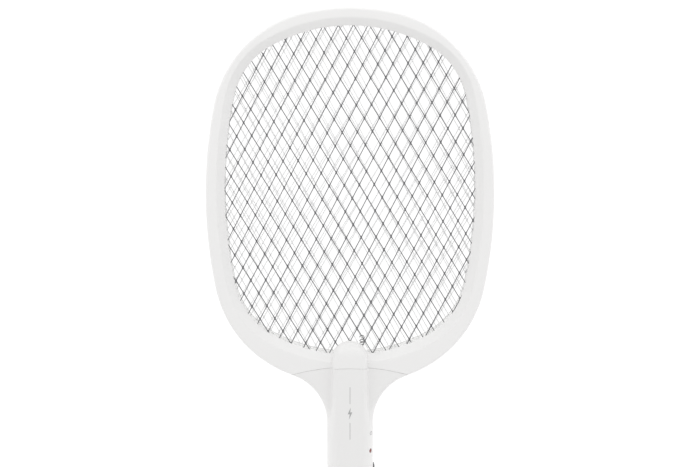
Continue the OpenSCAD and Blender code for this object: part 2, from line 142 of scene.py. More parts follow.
def combine(tree, x=0.0, y=0.0, z=0.0):
    return node(tree, "ShaderNodeCombineXYZ", None, {0: x, 1: y, 2: z})


# materials
def startMaterial(name):
    made = bpy.data.materials.new(name)
    made.use_nodes = True
    tree = made.node_tree
    tree.nodes.clear()
    return made, tree


def noiseAt(tree, scale, detail=2.0, stretch=(1, 1, 1), roughness=0.5):
    place = node(tree, "ShaderNodeTexCoord", None, None, "Object")
    spot = node(tree, "ShaderNodeMapping", None, {"Vector": place, "Scale": stretch})
    return node(tree, "ShaderNodeTexNoise", None,
                {"Vector": spot, "Scale": scale, "Detail": detail, "Roughness": roughness})


def tint(tree, amount, dark, light):
    return node(tree, "ShaderNodeMix", {"data_type": "RGBA"},
                {"Factor": amount, 6: (*dark, 1), 7: (*light, 1)}, 2)


def bump(tree, height, strength, distance):
    return node(tree, "ShaderNodeBump", None, {"Strength": strength, "Distance": distance, "Height": height})


def finishMaterial(made, tree, sockets):
    surface = node(tree, "ShaderNodeBsdfPrincipled", None, sockets)
    node(tree, "ShaderNodeOutputMaterial", None, {"Surface": surface})
    return made


def edgeWear(tree, low, high):
    # 0 on flats, 1 on convex edges
    point = node(tree, "ShaderNodeNewGeometry", None, None, "Pointiness")
    return node(tree, "ShaderNodeMapRange", None,
                {"Value": point, "From Min": low, "From Max": high, "To Min": 0.0, "To Max": 1.0})


moulding = {"flowScale": 28.0, "flowStretch": (1.0, 0.35, 1.0), "wearLow": 0.52, "wearHigh": 0.60,
            "roughSpread": 0.14, "rubbed": 0.10, "brightest": 0.95, "bumpDepth": 0.00012}
drawing = {"streakScale": 900.0, "streakStretch": (1.0, 0.12, 1.0), "patchScale": 60.0, "wearLow": 0.52,
           "wearHigh": 0.62, "spread": 0.12, "roughSpread": 0.20, "bump": 0.25, "bumpDepth": 0.00004}
dipping = {"dustScale": 190.0, "darker": 0.82, "lighter": 1.12, "brightest": 0.95, "roughSpread": 0.12,
           "coatRoughness": 0.08, "bump": 0.2, "bumpDepth": 0.0001}
etching = {"trackScale": 90.0, "trackWidth": 0.08, "trackLength": 0.9, "trackPitch": 0.32, "show": 0.55,
           "weaveScale": 420.0, "roughness": 0.32, "roughSpread": 0.12, "bump": 0.4, "bumpDepth": 0.00005}


def mouldedPlastic(name, look):
    # satin moulded plastic: fine spark-eroded grain, slow flow mottling, edges rubbed a little smoother
    made, tree = startMaterial(name)
    shade = look["shade"]
    grain = noiseAt(tree, look["grainScale"], 3.0)
    flow = noiseAt(tree, moulding["flowScale"], 2.0, moulding["flowStretch"])
    wear = edgeWear(tree, moulding["wearLow"], moulding["wearHigh"])
    darker = [c * (1 - look["mottle"]) for c in shade]
    lighter = [min(c * (1 + look["mottle"]), moulding["brightest"]) for c in shade]
    rough = look["roughness"] + (grain - 0.5) * moulding["roughSpread"] - wear * moulding["rubbed"]
    return finishMaterial(made, tree, {
        "Base Color": tint(tree, flow, darker, lighter), "Roughness": rough, "IOR": 1.48,
        "Specular IOR Level": 0.45,
        "Normal": bump(tree, grain, look["grainDepth"], moulding["bumpDepth"])})


def coatedMetal(name, look):
    # metal strip with a thin lacquer: drawn streaks, bare lighter metal at the sheared edges
    made, tree = startMaterial(name)
    streak = noiseAt(tree, drawing["streakScale"], 2.0, drawing["streakStretch"])
    patch = noiseAt(tree, drawing["patchScale"], 2.0)
    wear = edgeWear(tree, drawing["wearLow"], drawing["wearHigh"]) * look["edge"]
    body = tint(tree, patch, [c * (1 - drawing["spread"]) for c in look["shade"]],
                [c * (1 + drawing["spread"]) for c in look["shade"]])
    colour = node(tree, "ShaderNodeMix", {"data_type": "RGBA"},
                  {"Factor": wear, 6: body, 7: (*look["bare"], 1)}, 2)
    return finishMaterial(made, tree, {
        "Base Color": colour, "Metallic": look["metallic"],
        "Roughness": look["roughness"] + (streak - 0.5) * drawing["roughSpread"], "IOR": 1.5,
        "Normal": bump(tree, streak, drawing["bump"], drawing["bumpDepth"])})


def glossyPart(name, look):
    # dipped, taped or lacquered electrical part: soft orange-peel and a darker dusting
    made, tree = startMaterial(name)
    peel = noiseAt(tree, look["peelScale"], 2.0)
    dust = noiseAt(tree, dipping["dustScale"], 4.0)
    darker = [c * dipping["darker"] for c in look["shade"]]
    lighter = [min(c * dipping["lighter"], dipping["brightest"]) for c in look["shade"]]
    return finishMaterial(made, tree, {
        "Base Color": tint(tree, dust, darker, lighter), "IOR": 1.5,
        "Roughness": look["roughness"] + (dust - 0.5) * dipping["roughSpread"],
        "Coat Weight": look.get("coat", 0.0), "Coat Roughness": dipping["coatRoughness"],
        "Normal": bump(tree, peel, dipping["bump"], dipping["bumpDepth"])})


def boardMaterial(name, look):
    # solder resist over copper tracks
    made, tree = startMaterial(name)
    place = node(tree, "ShaderNodeTexCoord", None, None, "Object")
    tracks = node(tree, "ShaderNodeTexBrick", {"offset": 0.5}, {
        "Vector": place, "Color1": (0, 0, 0, 1), "Color2": (0, 0, 0, 1), "Mortar": (1, 1, 1, 1),
        "Scale": etching["trackScale"], "Mortar Size": etching["trackWidth"],
        "Brick Width": etching["trackLength"], "Row Height": etching["trackPitch"]}, 0)
    weave = noiseAt(tree, etching["weaveScale"], 2.0)
    height = node(tree, "ShaderNodeRGBToBW", None, {0: tracks})
    colour = node(tree, "ShaderNodeMix", {"data_type": "RGBA"},
                  {"Factor": height * etching["show"], 6: (*look["shade"], 1), 7: (*look["track"], 1)}, 2)
    return finishMaterial(made, tree, {
        "Base Color": colour,
        "Roughness": etching["roughness"] + (weave - 0.5) * etching["roughSpread"],
        "Normal": bump(tree, height + weave * 0.2, etching["bump"], etching["bumpDepth"])})


plastics = {
    "headPlastic": {"shade": (0.865, 0.86, 0.855), "mottle": 0.012, "grainScale": 2600.0, "grainDepth": 0.16,
                    "roughness": 0.46},
    "handlePlastic": {"shade": (0.845, 0.84, 0.835), "mottle": 0.012, "grainScale": 2400.0,
                      "grainDepth": 0.18, "roughness": 0.48},
    # spacer plastic whitened past its own tone: painted light that hides the shade in the pocket under the
    # lip
    "spacerPlasticPaintedLight": {"shade": (0.90, 0.90, 0.89), "mottle": 0.02, "grainScale": 1500.0, "grainDepth": 0.2,
                      "roughness": 0.5},
    "knobPlastic": {"shade": (0.05, 0.05, 0.054), "mottle": 0.08, "grainScale": 2200.0, "grainDepth": 0.35,
                    "roughness": 0.5},
    "buttonPlastic": {"shade": (0.17, 0.17, 0.18), "mottle": 0.05, "grainScale": 2200.0, "grainDepth": 0.3,
                      "roughness": 0.42},
    "carrierPlastic": {"shade": (0.80, 0.79, 0.77), "mottle": 0.02, "grainScale": 1500.0, "grainDepth": 0.2,
                       "roughness": 0.45},
    "printInk": {"shade": (0.42, 0.42, 0.42), "mottle": 0.04, "grainScale": 3000.0, "grainDepth": 0.2,
                 "roughness": 0.55}}
metals = {
    "darkMesh": {"shade": (0.085, 0.085, 0.09), "bare": (0.30, 0.30, 0.31), "edge": 0.5, "metallic": 0.75,
                 "roughness": 0.46},
    # middle and back mesh metal, partly its own pale tone and partly painted light: lightened to stand in
    # for the bright reflections and back light that wash out the rear layers
    "brightMesh": {"shade": (0.80, 0.80, 0.805), "bare": (0.88, 0.88, 0.88), "edge": 0.5, "metallic": 0.7,
                   "roughness": 0.38},
    "screwSteel": {"shade": (0.58, 0.58, 0.59), "bare": (0.78, 0.78, 0.78), "edge": 0.6, "metallic": 1.0,
                   "roughness": 0.34},
    "springSteel": {"shade": (0.22, 0.22, 0.225), "bare": (0.45, 0.45, 0.45), "edge": 0.5, "metallic": 0.9,
                    "roughness": 0.36},
    "switchCan": {"shade": (0.52, 0.52, 0.53), "bare": (0.7, 0.7, 0.7), "edge": 0.6, "metallic": 1.0,
                  "roughness": 0.3},
    "cellCan": {"shade": (0.10, 0.28, 0.42), "bare": (0.16, 0.36, 0.5), "edge": 0.2, "metallic": 0.1,
                "roughness": 0.3},
    "pinBrass": {"shade": (0.74, 0.66, 0.48), "bare": (0.84, 0.76, 0.56), "edge": 0.5, "metallic": 1.0,
                 "roughness": 0.24},
    "contactBrass": {"shade": (0.70, 0.52, 0.24), "bare": (0.82, 0.66, 0.36), "edge": 0.5, "metallic": 1.0,
                     "roughness": 0.3}}
glossy = {
    "redWire": {"shade": (0.42, 0.035, 0.03), "roughness": 0.34, "peelScale": 700.0},
    "blackWire": {"shade": (0.03, 0.03, 0.03), "roughness": 0.34, "peelScale": 700.0},
    "ferrite": {"shade": (0.10, 0.085, 0.08), "roughness": 0.55, "peelScale": 500.0},
    "capacitorRed": {"shade": (0.42, 0.07, 0.04), "roughness": 0.24, "peelScale": 160.0, "coat": 0.4},
    "capacitorBrown": {"shade": (0.28, 0.07, 0.05), "roughness": 0.24, "peelScale": 160.0, "coat": 0.4},
    "blackEpoxy": {"shade": (0.032, 0.032, 0.033), "roughness": 0.4, "peelScale": 500.0},
    "resistorTan": {"shade": (0.55, 0.42, 0.22), "roughness": 0.34, "peelScale": 300.0},
    "lampRed": {"shade": (0.45, 0.03, 0.03), "roughness": 0.12, "peelScale": 60.0, "coat": 0.6},
    "lensRed": {"shade": (0.22, 0.03, 0.025), "roughness": 0.16, "peelScale": 60.0, "coat": 0.8}}

print("materials")
finish = {n: mouldedPlastic(n, look) for n, look in plastics.items()}
finish.update({n: coatedMetal(n, look) for n, look in metals.items()})
finish.update({n: glossyPart(n, look) for n, look in glossy.items()})
finish["board"] = boardMaterial("board", {"shade": (0.035, 0.16, 0.06), "track": (0.10, 0.30, 0.12)})


# mesh helpers, all in millimetres
def makePiece(name, points, faces, material, sharp=32):
    mesh = bpy.data.meshes.new(name)
    mesh.from_pydata([Vector(p) * mm for p in points], [], faces)
    mesh.validate()
    mesh.materials.append(finish[material])
    piece = bpy.data.objects.new(name, mesh)
    bpy.context.scene.collection.objects.link(piece)
    tidyNormals(piece, sharp)
    return piece


def tidyNormals(piece, sharp=32):
    bm = bmesh.new()
    bm.from_mesh(piece.data)
    bmesh.ops.remove_doubles(bm, verts=bm.verts, dist=0.000002)
    bmesh.ops.dissolve_degenerate(bm, edges=bm.edges, dist=0.000001)
    bmesh.ops.recalc_face_normals(bm, faces=bm.faces)
    bm.to_mesh(piece.data)
    bm.free()
    piece.data.shade_smooth()
    piece.data.set_sharp_from_angle(angle=math.radians(sharp))


def loftClosed(rows, closeRows=False, caps=True):
    # rows of equal loops, each a closed loop; caps close the first and last row
    count = len(rows[0])
    points = [p for row in rows for p in row]
    last = len(rows) if closeRows else len(rows) - 1
    faces = []
    for j in range(last):
        a, b = j * count, ((j + 1) % len(rows)) * count
        for i in range(count):
            k = (i + 1) % count
            faces.append((a + i, a + k, b + k, b + i))
    if caps and not closeRows:
        faces.append(tuple(reversed(range(count))))
        faces.append(tuple(range(len(points) - count, len(points))))
    return points, faces


def revolve(profile, centre, axis="z", segments=64):
    # profile of (radius, height) from the axis back to the axis
    rows = []
    for j in range(segments):
        a = 2 * math.pi * j / segments
        row = []
        for radius, height in profile:
            u, v = radius * math.cos(a), radius * math.sin(a)
            spot = {"z": (u, v, height), "x": (height, u, v), "y": (u, height, v)}[axis]
            row.append(tuple(s + c for s, c in zip(spot, centre)))
        rows.append(row)
    count = len(profile)
    points = [p for row in rows for p in row]
    faces = []
    for j in range(segments):
        a, b = j * count, ((j + 1) % segments) * count
        faces += [(a + i, a + i + 1, b + i + 1, b + i) for i in range(count - 1)]
    return points, faces


def quarterRound(centre, radius, start, end, steps):
    angles = [math.radians(start + (end - start) * i / steps) for i in range(steps + 1)]
    return [(centre[0] + radius * math.cos(a), centre[1] + radius * math.sin(a)) for a in angles]


def roundedBox(low, high, radius, steps=4, axis=2):
    # box whose four edges along one axis are rounded by radius and whose ends are eased
    ease = min(radius * 0.5, 0.4)
    u, v = [i for i in range(3) if i != axis]
    bottom, top = low[axis], high[axis]
    rows = []
    for height, inset in ((bottom, ease), (bottom + ease, 0), (top - ease, 0), (top, ease)):
        r = radius - inset * 0.5
        row = []
        for sx, sy, start in ((1, 1, 0), (-1, 1, 90), (-1, -1, 180), (1, -1, 270)):
            cx = (high[u] - inset - r) if sx > 0 else (low[u] + inset + r)
            cy = (high[v] - inset - r) if sy > 0 else (low[v] + inset + r)
            for x, y in quarterRound((cx, cy), r, start, start + 90, steps):
                spot = [0, 0, 0]
                spot[u], spot[v], spot[axis] = x, y, height
                row.append(tuple(spot))
        rows.append(row)
    return loftClosed(rows)


def combinePieces(piece, tools, operation):
    # boolean with each tool in turn, kept as a plain mesh
    for tool in tools:
        change = piece.modifiers.new("change", "BOOLEAN")
        change.operation = operation
        change.solver = "MANIFOLD"
        change.object = tool
        settle(piece)
        bpy.data.objects.remove(tool)
    return piece


def settle(piece):
    # turns live modifiers into the piece's own mesh
    graph = bpy.context.evaluated_depsgraph_get()
    made = bpy.data.meshes.new_from_object(piece.evaluated_get(graph))
    old = piece.data
    piece.modifiers.clear()
    piece.data = made
    bpy.data.meshes.remove(old)


def levelNormals(piece):
    # large faces keep their own direction, so flats stay even beside small rounds
    weigh = piece.modifiers.new("weigh", "WEIGHTED_NORMAL")
    weigh.mode = "FACE_AREA"
    weigh.weight = 60
    weigh.keep_sharp = True
    settle(piece)


def cutter(points, faces):
    return makePiece("cutter", points, faces, "headPlastic")


def rod(radius, low, high, axis="z", segments=48):
    # closed cylinder between two points that differ along the axis only
    n = {"x": 0, "y": 1, "z": 2}[axis]
    centre = list(low)
    centre[n] = 0
    profile = [(0, low[n]), (radius, low[n]), (radius, high[n]), (0, high[n])]
    return revolve(profile, centre, axis, segments)


def place(piece, body, slotName, *replaced):
    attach(piece, body)
    if replaced:
        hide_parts(*replaced)
    return piece


# ovals of eight tangent arcs
def arcsOf(oval):
    a, b = oval["halfWidth"], oval["halfHeight"]
    side, end, small = oval["sideRadius"], oval["endRadius"], oval["cornerRadius"]
    sideCentre, endCentre = Vector((a - side, 0)), Vector((0, b - end))
    gap = (endCentre - sideCentre).length
    along = ((side - small) ** 2 - (end - small) ** 2 + gap ** 2) / (2 * gap)
    across = math.sqrt((side - small) ** 2 - along ** 2)
    line = (endCentre - sideCentre) / gap
    c = sideCentre + along * line + across * Vector((-line.y, line.x))
    s = math.atan2(c.y, c.x - sideCentre.x)
    e = math.atan2(c.y - endCentre.y, c.x)
    pi = math.pi
    return [((sideCentre.x, 0), side, -s, 2 * s), ((c.x, c.y), small, s, e - s),
            ((0, endCentre.y), end, e, pi - 2 * e), ((-c.x, c.y), small, pi - e, e - s),
            ((-sideCentre.x, 0), side, pi - s, 2 * s), ((-c.x, -c.y), small, pi + s, e - s),
            ((0, -endCentre.y), end, pi + e, pi - 2 * e), ((c.x, -c.y), small, 2 * pi - e, e - s)]


def ovalPoint(oval, arc, share, outside=0.0):
    (cx, cy), radius, start, sweep = arcsOf(oval)[arc]
    angle = start + share * sweep
    reach = radius + outside
    return cx + reach * math.cos(angle), oval["centre"] + cy + reach * math.sin(angle)


def ovalLine(oval, outside, steps):
    return [ovalPoint(oval, arc, i / steps, outside) for arc in range(8) for i in range(steps)]


def sweptRing(section, steps):
    # section: closed loop of (oval, distance outside it, height)
    rows = [[(x, y, z) for x, y in ovalLine(oval, outside, steps)] for oval, outside, z in section]
    return loftClosed(rows, closeRows=True, caps=False)


# head
head = {"steps": 28, "edgeRound": 2.2, "bevelWidth": 5.8, "bevelBottom": 17.2, "lip": gridFront,
        "pocket": 5.0, "easing": 0.7, "midShare": 0.45, "skin": 0.02}
seam = {"halfWidth": 70.0, "steps": 90, "toolDepth": 60.0, "below": -5.0, "above": 8.0}


def seamTool(gap):
    # block whose head-side face is the curved seam
    reach, steps = seam["halfWidth"], seam["steps"]
    r = neck["seamRadius"] + gap
    cy = neck["seamTop"] - neck["seamRadius"]
    outline = []
    for i in range(steps + 1):
        x = reach - 2 * reach * i / steps
        outline.append((x, cy + math.sqrt(r * r - x * x)))
    foot = neck["seamTop"] - seam["toolDepth"]
    outline += [(-reach, foot), (reach, foot)]
    return loftClosed([[(x, y, z) for x, y in outline] for z in (seam["below"], frontZ + seam["above"])])


def rimSection():
    # front half of the rim, from the parting edge over the flat and the bevel to the lip and its pocket
    r, e, skin = head["edgeRound"], head["easing"], head["skin"]
    width, low, top = head["bevelWidth"], head["bevelBottom"], headThick
    slope = math.atan2(top - low, width)
    outer = [(rim, 0.0, partZ + skin)]
    outer += [(rim, x, z) for x, z in quarterRound((-r, top - r), r, 0, 90, 8)]
    crown = [(opening, width + 1.6 * e, top), (opening, width + e, top),
             (opening, width + 0.25 * e, top - 0.1 * e),
             (opening, width - 0.7 * e * math.cos(slope), top - 0.7 * e * math.sin(slope))]
    mid = [(opening, width * head["midShare"], low + (top - low) * head["midShare"])]
    lip = [(opening, 0.45, low + 0.4), (opening, 0.08, low), (opening, 0.0, low - 0.3),
           (opening, 0.15, head["lip"] + skin)]
    inner = [(opening, head["pocket"], head["lip"] + skin), (opening, head["pocket"], partZ + skin)]
    return outer + crown + mid + lip + inner


dome = {"y": -12.2, "shorter": 1.0, "alongGrowth": 5.2, "deepGrowth": 3.6, "intoNeck": 6.0, "columns": 48,
        "rows": 9, "skin": 0.05}


def domeRows():
    # the rib's rounded end: its edge radius grows from the flanks to the tip
    rows = []
    base = head["lip"] + dome["skin"]
    for j in range(dome["columns"] + 1):
        a = math.pi * j / dome["columns"]
        lean = math.sin(a) ** 2
        along = rib["round"] + dome["alongGrowth"] * lean
        deep = rib["round"] + dome["deepGrowth"] * lean
        outX = rib["halfWidth"] * math.cos(a)
        outY = (rib["halfWidth"] - dome["shorter"]) * math.sin(a)
        reach = math.hypot(outX, outY)
        row = [(0.0, base), (reach, base)]
        row += [(reach - along + x * along, frontZ - deep + z * deep)
                for x, z in quarterRound((0, 0), 1.0, 0, 90, dome["rows"])]
        row.append((0.0, frontZ))
        rows.append([(outX / reach * r, dome["y"] + outY / reach * r, z) for r, z in row])
    first, final = rows[0], rows[-1]
    tail = neck["seamTop"] - dome["intoNeck"]
    rows.insert(0, [(x, tail, z) for x, _, z in first])
    rows.append([(x, tail, z) for x, _, z in final])
    return rows


def domeMesh():
    # closed skin over the rows, flat where the dome ends inside the neck
    rows = domeRows()
    count = len(rows[0])
    points = [p for row in rows for p in row]
    faces = []
    for j in range(len(rows) - 1):
        a, b = j * count, (j + 1) * count
        faces += [(a + i, a + i + 1, b + i + 1, b + i) for i in range(count - 1)]
    last = (len(rows) - 1) * count
    faces.append(tuple(range(count)) + tuple(last + i for i in range(count - 2, 0, -1)))
    return points, faces


def frontRing():
    piece = makePiece("headFrontRing", *sweptRing(rimSection(), head["steps"]), "headPlastic")
    combinePieces(piece, [makePiece("dome", *domeMesh(), "headPlastic")], "UNION")
    combinePieces(piece, [cutter(*seamTool(neck["seamGap"]))], "DIFFERENCE")
    tidyNormals(piece, 30)
    levelNormals(piece)
    return place(piece, "swatter", "head_plastic", "head_front_ring")


# screw holes: one in the middle of each rim arc but the one at the neck, three pairs along the handle
recess = {"radius": 2.5, "depth": 3.0, "chamfer": 0.35, "rimInset": 4.6, "rimArcs": (0, 1, 2, 3, 4, 5, 7)}
neckScrew = (13.0, -40.0)
gripScrews = ((12.0, -140.0), (12.0, -197.0))
shellScrews = [(side * x, y) for x, y in (neckScrew,) + gripScrews for side in (-1, 1)]


def screwPlaces():
    return [ovalPoint(rim, arc, 0.5, -recess["rimInset"]) for arc in recess["rimArcs"]]


def recessTool(x, y):
    r, d, c = recess["radius"], recess["depth"], recess["chamfer"]
    profile = [(0, -1), (r + c + 1, -1), (r + c, 0), (r, c), (r, d), (0, d)]
    return cutter(*revolve(profile, (x, y, 0)))


def backRing():
    section = [(oval, grow, 2 * partZ - z) for oval, grow, z in rimSection()]
    piece = makePiece("headBackRing", *sweptRing(section, head["steps"]), "headPlastic")
    combinePieces(piece, [cutter(*seamTool(neck["seamGap"]))], "DIFFERENCE")
    combinePieces(piece, [recessTool(x, y) for x, y in screwPlaces()], "DIFFERENCE")
    tidyNormals(piece, 30)
    levelNormals(piece)
    return place(piece, "swatter", "head_plastic", "head_back_ring")


print("head rings")
frontRing()
backRing()


# expanded meshes by geometry nodes
def addInput(tree, name, kind, value=None):
    socket = tree.interface.new_socket(name=name, in_out="INPUT", socket_type=kind)
    if value is not None:
        socket.default_value = value
    return socket


def setInput(modifier, name, value):
    for item in modifier.node_group.interface.items_tree:
        if item.item_type == "SOCKET" and item.in_out == "INPUT" and item.name == name:
            modifier[item.identifier] = value


def startTree(name, inputs):
    tree = bpy.data.node_groups.new(name, "GeometryNodeTree")
    tree.interface.new_socket(name="Geometry", in_out="INPUT", socket_type="NodeSocketGeometry")
    for label, (kind, value) in inputs.items():
        addInput(tree, label, kind, value)
    tree.interface.new_socket(name="Geometry", in_out="OUTPUT", socket_type="NodeSocketGeometry")
    entry = tree.nodes.new("NodeGroupInput")
    return tree, {s.name: Wire(tree, s) for s in entry.outputs}


def endTree(tree, geometry, material):
    real = node(tree, "GeometryNodeRealizeInstances", None, {0: geometry})
    painted = node(tree, "GeometryNodeSetMaterial", None, {"Geometry": real, "Material": material})
    done = tree.nodes.new("NodeGroupOutput")
    tree.links.new(painted.socket, done.inputs[0])
    return tree


sheet = {"edge": 4.3, "wallHalf": 3.0, "steps": 24, "strandsAcross": 61, "reach": 0.4}


def strandTree():
    number = "NodeSocketFloat"
    tree, given = startTree("expandedMesh", {
        "Wall": ("NodeSocketObject", None), "Cell Width": (number, 0.011), "Cell Length": (number, 0.0194),
        "Turn": (number, 0.0), "Centre": ("NodeSocketVector", (0, 0, 0)), "Strand Width": (number, 0.0009),
        "Strand Thickness": (number, 0.0005), "Strand Tilt": (number, 0.2), "Bond Growth": (number, 0.5),
        "Bond Length": (number, 0.0016), "Rise": (number, 0.0001), "Step": (number, 0.0014),
        "Material": ("NodeSocketMaterial", None)})
    count, reach = sheet["strandsAcross"], sheet["reach"]
    width, length = given["Cell Width"], given["Cell Length"]
    wall = node(tree, "GeometryNodeObjectInfo", {"transform_space": "ORIGINAL"},
                {"Object": given["Wall"]}, "Geometry")
    rotation = combine(tree, z=given["Turn"])
    lengthAxis = node(tree, "ShaderNodeVectorRotate", {"rotation_type": "Z_AXIS"},
                      {"Vector": (0, 1, 0), "Angle": given["Turn"]})
    families = []
    for side in (1, -1):
        start = combine(tree, width * (-(count - 1) / 2))
        line = node(tree, "GeometryNodeMeshLine", {"mode": "OFFSET"},
                    {"Count": count, "Start Location": start, "Offset": combine(tree, width)})
        placed = node(tree, "GeometryNodeTransform", None,
                      {"Geometry": line, "Translation": given["Centre"], "Rotation": rotation})
        slant = vectorMath(tree, "NORMALIZE", combine(tree, width * (0.5 * side), length * 0.5))
        heading = node(tree, "ShaderNodeVectorRotate", {"rotation_type": "Z_AXIS"},
                       {"Vector": slant, "Angle": given["Turn"]})
        spot = node(tree, "GeometryNodeInputPosition")
        far = vectorMath(tree, "SCALE", heading, scale=reach)
        below = vectorMath(tree, "SUBTRACT", spot, far)
        above = vectorMath(tree, "ADD", spot, far)
        backward = vectorMath(tree, "SCALE", heading, scale=-1.0)
        enter = node(tree, "GeometryNodeRaycast", None,
                     {"Target Geometry": wall, "Source Position": below, "Ray Direction": heading,
                      "Ray Length": 2 * reach}, "Hit Distance")
        leave = node(tree, "GeometryNodeRaycast", None,
                     {"Target Geometry": wall, "Source Position": above, "Ray Direction": backward,
                      "Ray Length": 2 * reach}, "Hit Distance")
        hit = outputs(enter, "Is Hit")
        kept = storeFloat(tree, placed, "enterAt", enter)
        kept = storeFloat(tree, kept, "leaveAt", leave)
        missed = node(tree, "FunctionNodeBooleanMath", {"operation": "NOT"}, {0: hit})
        kept = node(tree, "GeometryNodeDeleteGeometry", {"domain": "POINT"},
                    {"Geometry": kept, "Selection": missed})
        enterAt, leaveAt = readFloat(tree, "enterAt"), readFloat(tree, "leaveAt")
        moved = node(tree, "GeometryNodeSetPosition", None, {
            "Geometry": kept, "Offset": vectorMath(tree, "SCALE", heading, scale=enterAt - reach)})
        edges = node(tree, "GeometryNodeExtrudeMesh", {"mode": "VERTICES"}, {
            "Mesh": moved,
            "Offset": vectorMath(tree, "SCALE", heading, scale=2 * reach - (enterAt + leaveAt))})
        curves = node(tree, "GeometryNodeMeshToCurve", None, {"Mesh": edges})
        fine = node(tree, "GeometryNodeResampleCurve", {"mode": "LENGTH"},
                    {"Curve": curves, "Length": given["Step"]})
        # bonds lie where the place along the long diagonal is a whole number of half cells
        offset = vectorMath(tree, "SUBTRACT", node(tree, "GeometryNodeInputPosition"), given["Centre"])
        cells = vectorMath(tree, "DOT_PRODUCT", offset, lengthAxis) / (length * 0.5)
        away = (cells - cells.math("ROUND")).math("ABSOLUTE")
        edge = ((width * width + length * length).math("SQRT")) * 0.5
        bond = node(tree, "ShaderNodeMapRange", {"interpolation_type": "SMOOTHSTEP"},
                    {"Value": away * edge, "From Min": 0.0, "From Max": given["Bond Length"],
                     "To Min": 1.0, "To Max": 0.0})
        wave = node(tree, "GeometryNodeSetPosition", None, {
            "Geometry": fine, "Offset": combine(tree, z=(away * 2.0 - 0.5) * given["Rise"] * float(side))})
        upright = node(tree, "GeometryNodeSetCurveNormal", {"mode": "Z_UP"}, {"Curve": wave})
        tilted = node(tree, "GeometryNodeSetCurveTilt", None,
                      {"Curve": upright, "Tilt": given["Strand Tilt"] * float(side)})
        outline = node(tree, "GeometryNodeCurvePrimitiveQuadrilateral", {"mode": "RECTANGLE"},
                       {"Width": given["Strand Width"], "Height": given["Strand Thickness"]})
        families.append(node(tree, "GeometryNodeCurveToMesh", None,
                             {"Curve": tilted, "Profile Curve": outline,
                              "Scale": bond * given["Bond Growth"] + 1.0, "Fill Caps": True}))
    both = tree.nodes.new("GeometryNodeJoinGeometry")
    for family in families:
        tree.links.new(family.socket, both.inputs[0])
    return endTree(tree, Wire(tree, both.outputs[0]), given["Material"])


def storeFloat(tree, geometry, name, value):
    return node(tree, "GeometryNodeStoreNamedAttribute", {"data_type": "FLOAT", "domain": "POINT"},
                {"Geometry": geometry, "Name": name, "Value": value})


def readFloat(tree, name):
    return node(tree, "GeometryNodeInputNamedAttribute", {"data_type": "FLOAT"}, {"Name": name})


def grow(name, tree, inputs, points=((0, 0, 0),)):
    # runs a geometry-nodes tree on a few points and keeps the result as a plain mesh
    mesh = bpy.data.meshes.new(name)
    mesh.from_pydata(points, [], [])
    piece = bpy.data.objects.new(name, mesh)
    bpy.context.scene.collection.objects.link(piece)
    modifier = piece.modifiers.new("nodes", "NODES")
    modifier.node_group = tree
    for label, value in inputs.items():
        setInput(modifier, label, value)
    settle(piece)
    for label in ("enterAt", "leaveAt"):
        if label in piece.data.attributes:
            piece.data.attributes.remove(piece.data.attributes[label])
    return piece


def wallAt(z):
    # band along the edge of the sheet at height z, where the strands end
    line = ovalLine(opening, sheet["edge"], sheet["steps"])
    low = [(x, y, z - sheet["wallHalf"]) for x, y in line]
    high = [(x, y, z + sheet["wallHalf"]) for x, y in line]
    count = len(line)
    faces = [(i, (i + 1) % count, count + (i + 1) % count, count + i) for i in range(count)]
    return makePiece("wall", low + high, faces, "headPlastic")


meshes = {
    "frontMesh": {"node": "front_grid", "z": gridFront - 0.25, "cell": (10.95, 19.4), "turn": 2.1,
                  "bondAt": (3.2, 213.0), "strand": (0.55, 0.42), "tilt": 6, "bond": (0.95, 1.5),
                  "finish": "darkMesh", "slot": "dark_mesh"},
    # middle and back meshes take the lightened metal, partly painted light
    "middleMesh": {"node": "middle_grid", "z": gridMiddle, "cell": (10.6, 18.7), "turn": 0.0,
                   "bondAt": (5.1, 213.0), "strand": (0.40, 0.34), "tilt": 30, "bond": (0.7, 1.5),
                   "finish": "brightMesh", "slot": "bright_mesh"},
    "backMesh": {"node": "back_grid", "z": gridBack + 0.25, "cell": (10.95, 19.4), "turn": -1.4,
                 "bondAt": (1.5, 207.0), "strand": (0.40, 0.34), "tilt": 30, "bond": (0.7, 1.5),
                 "finish": "brightMesh", "slot": "bright_mesh"}}

print("expanded meshes")
strands = strandTree()
for name, look in meshes.items():
    wall = wallAt(look["z"])
    piece = grow(name, strands, {
        "Wall": wall, "Cell Width": look["cell"][0] * mm, "Cell Length": look["cell"][1] * mm,
        "Turn": math.radians(look["turn"]),
        "Centre": [c * mm for c in (*look["bondAt"], look["z"])],
        "Strand Width": look["strand"][0] * mm, "Strand Thickness": look["strand"][1] * mm,
        "Strand Tilt": math.radians(look["tilt"]), "Bond Growth": look["bond"][0],
        "Bond Length": look["bond"][1] * mm, "Rise": 0.02 * mm, "Step": 1.2 * mm,
        "Material": finish[look["finish"]]})
    bpy.data.objects.remove(wall)
    tidyNormals(piece, 40)
    place(piece, "swatter", look["slot"], look["node"])
    print(name, len(piece.data.polygons), "faces")


# handle shells
def neckHalf(y):
    if y <= neck["filletY"]:
        return halfHandle
    return neck["filletX"] - math.sqrt(max(neck["radius"] ** 2 - (y - neck["filletY"]) ** 2, 1.0))


def seamDrop(x):
    r = neck["seamRadius"]
    return r - math.sqrt(r * r - x * x)


def bentHalf(y, fade):
    # half width where a row that bends with the seam meets the neck's side
    low, high = 5.0, neck["filletX"] - 1
    for _ in range(30):
        middle = (low + high) / 2
        if neckHalf(y - seamDrop(middle) * fade) > middle:
            low = middle
        else:
            high = middle
    return low


def blendAt(y):
    # 0 on the grip, 1 on the flat neck
    t = (y - neck["blendLow"]) / (neck["blendHigh"] - neck["blendLow"])
    t = min(max(t, 0.0), 1.0)
    return t * t * (3 - 2 * t)


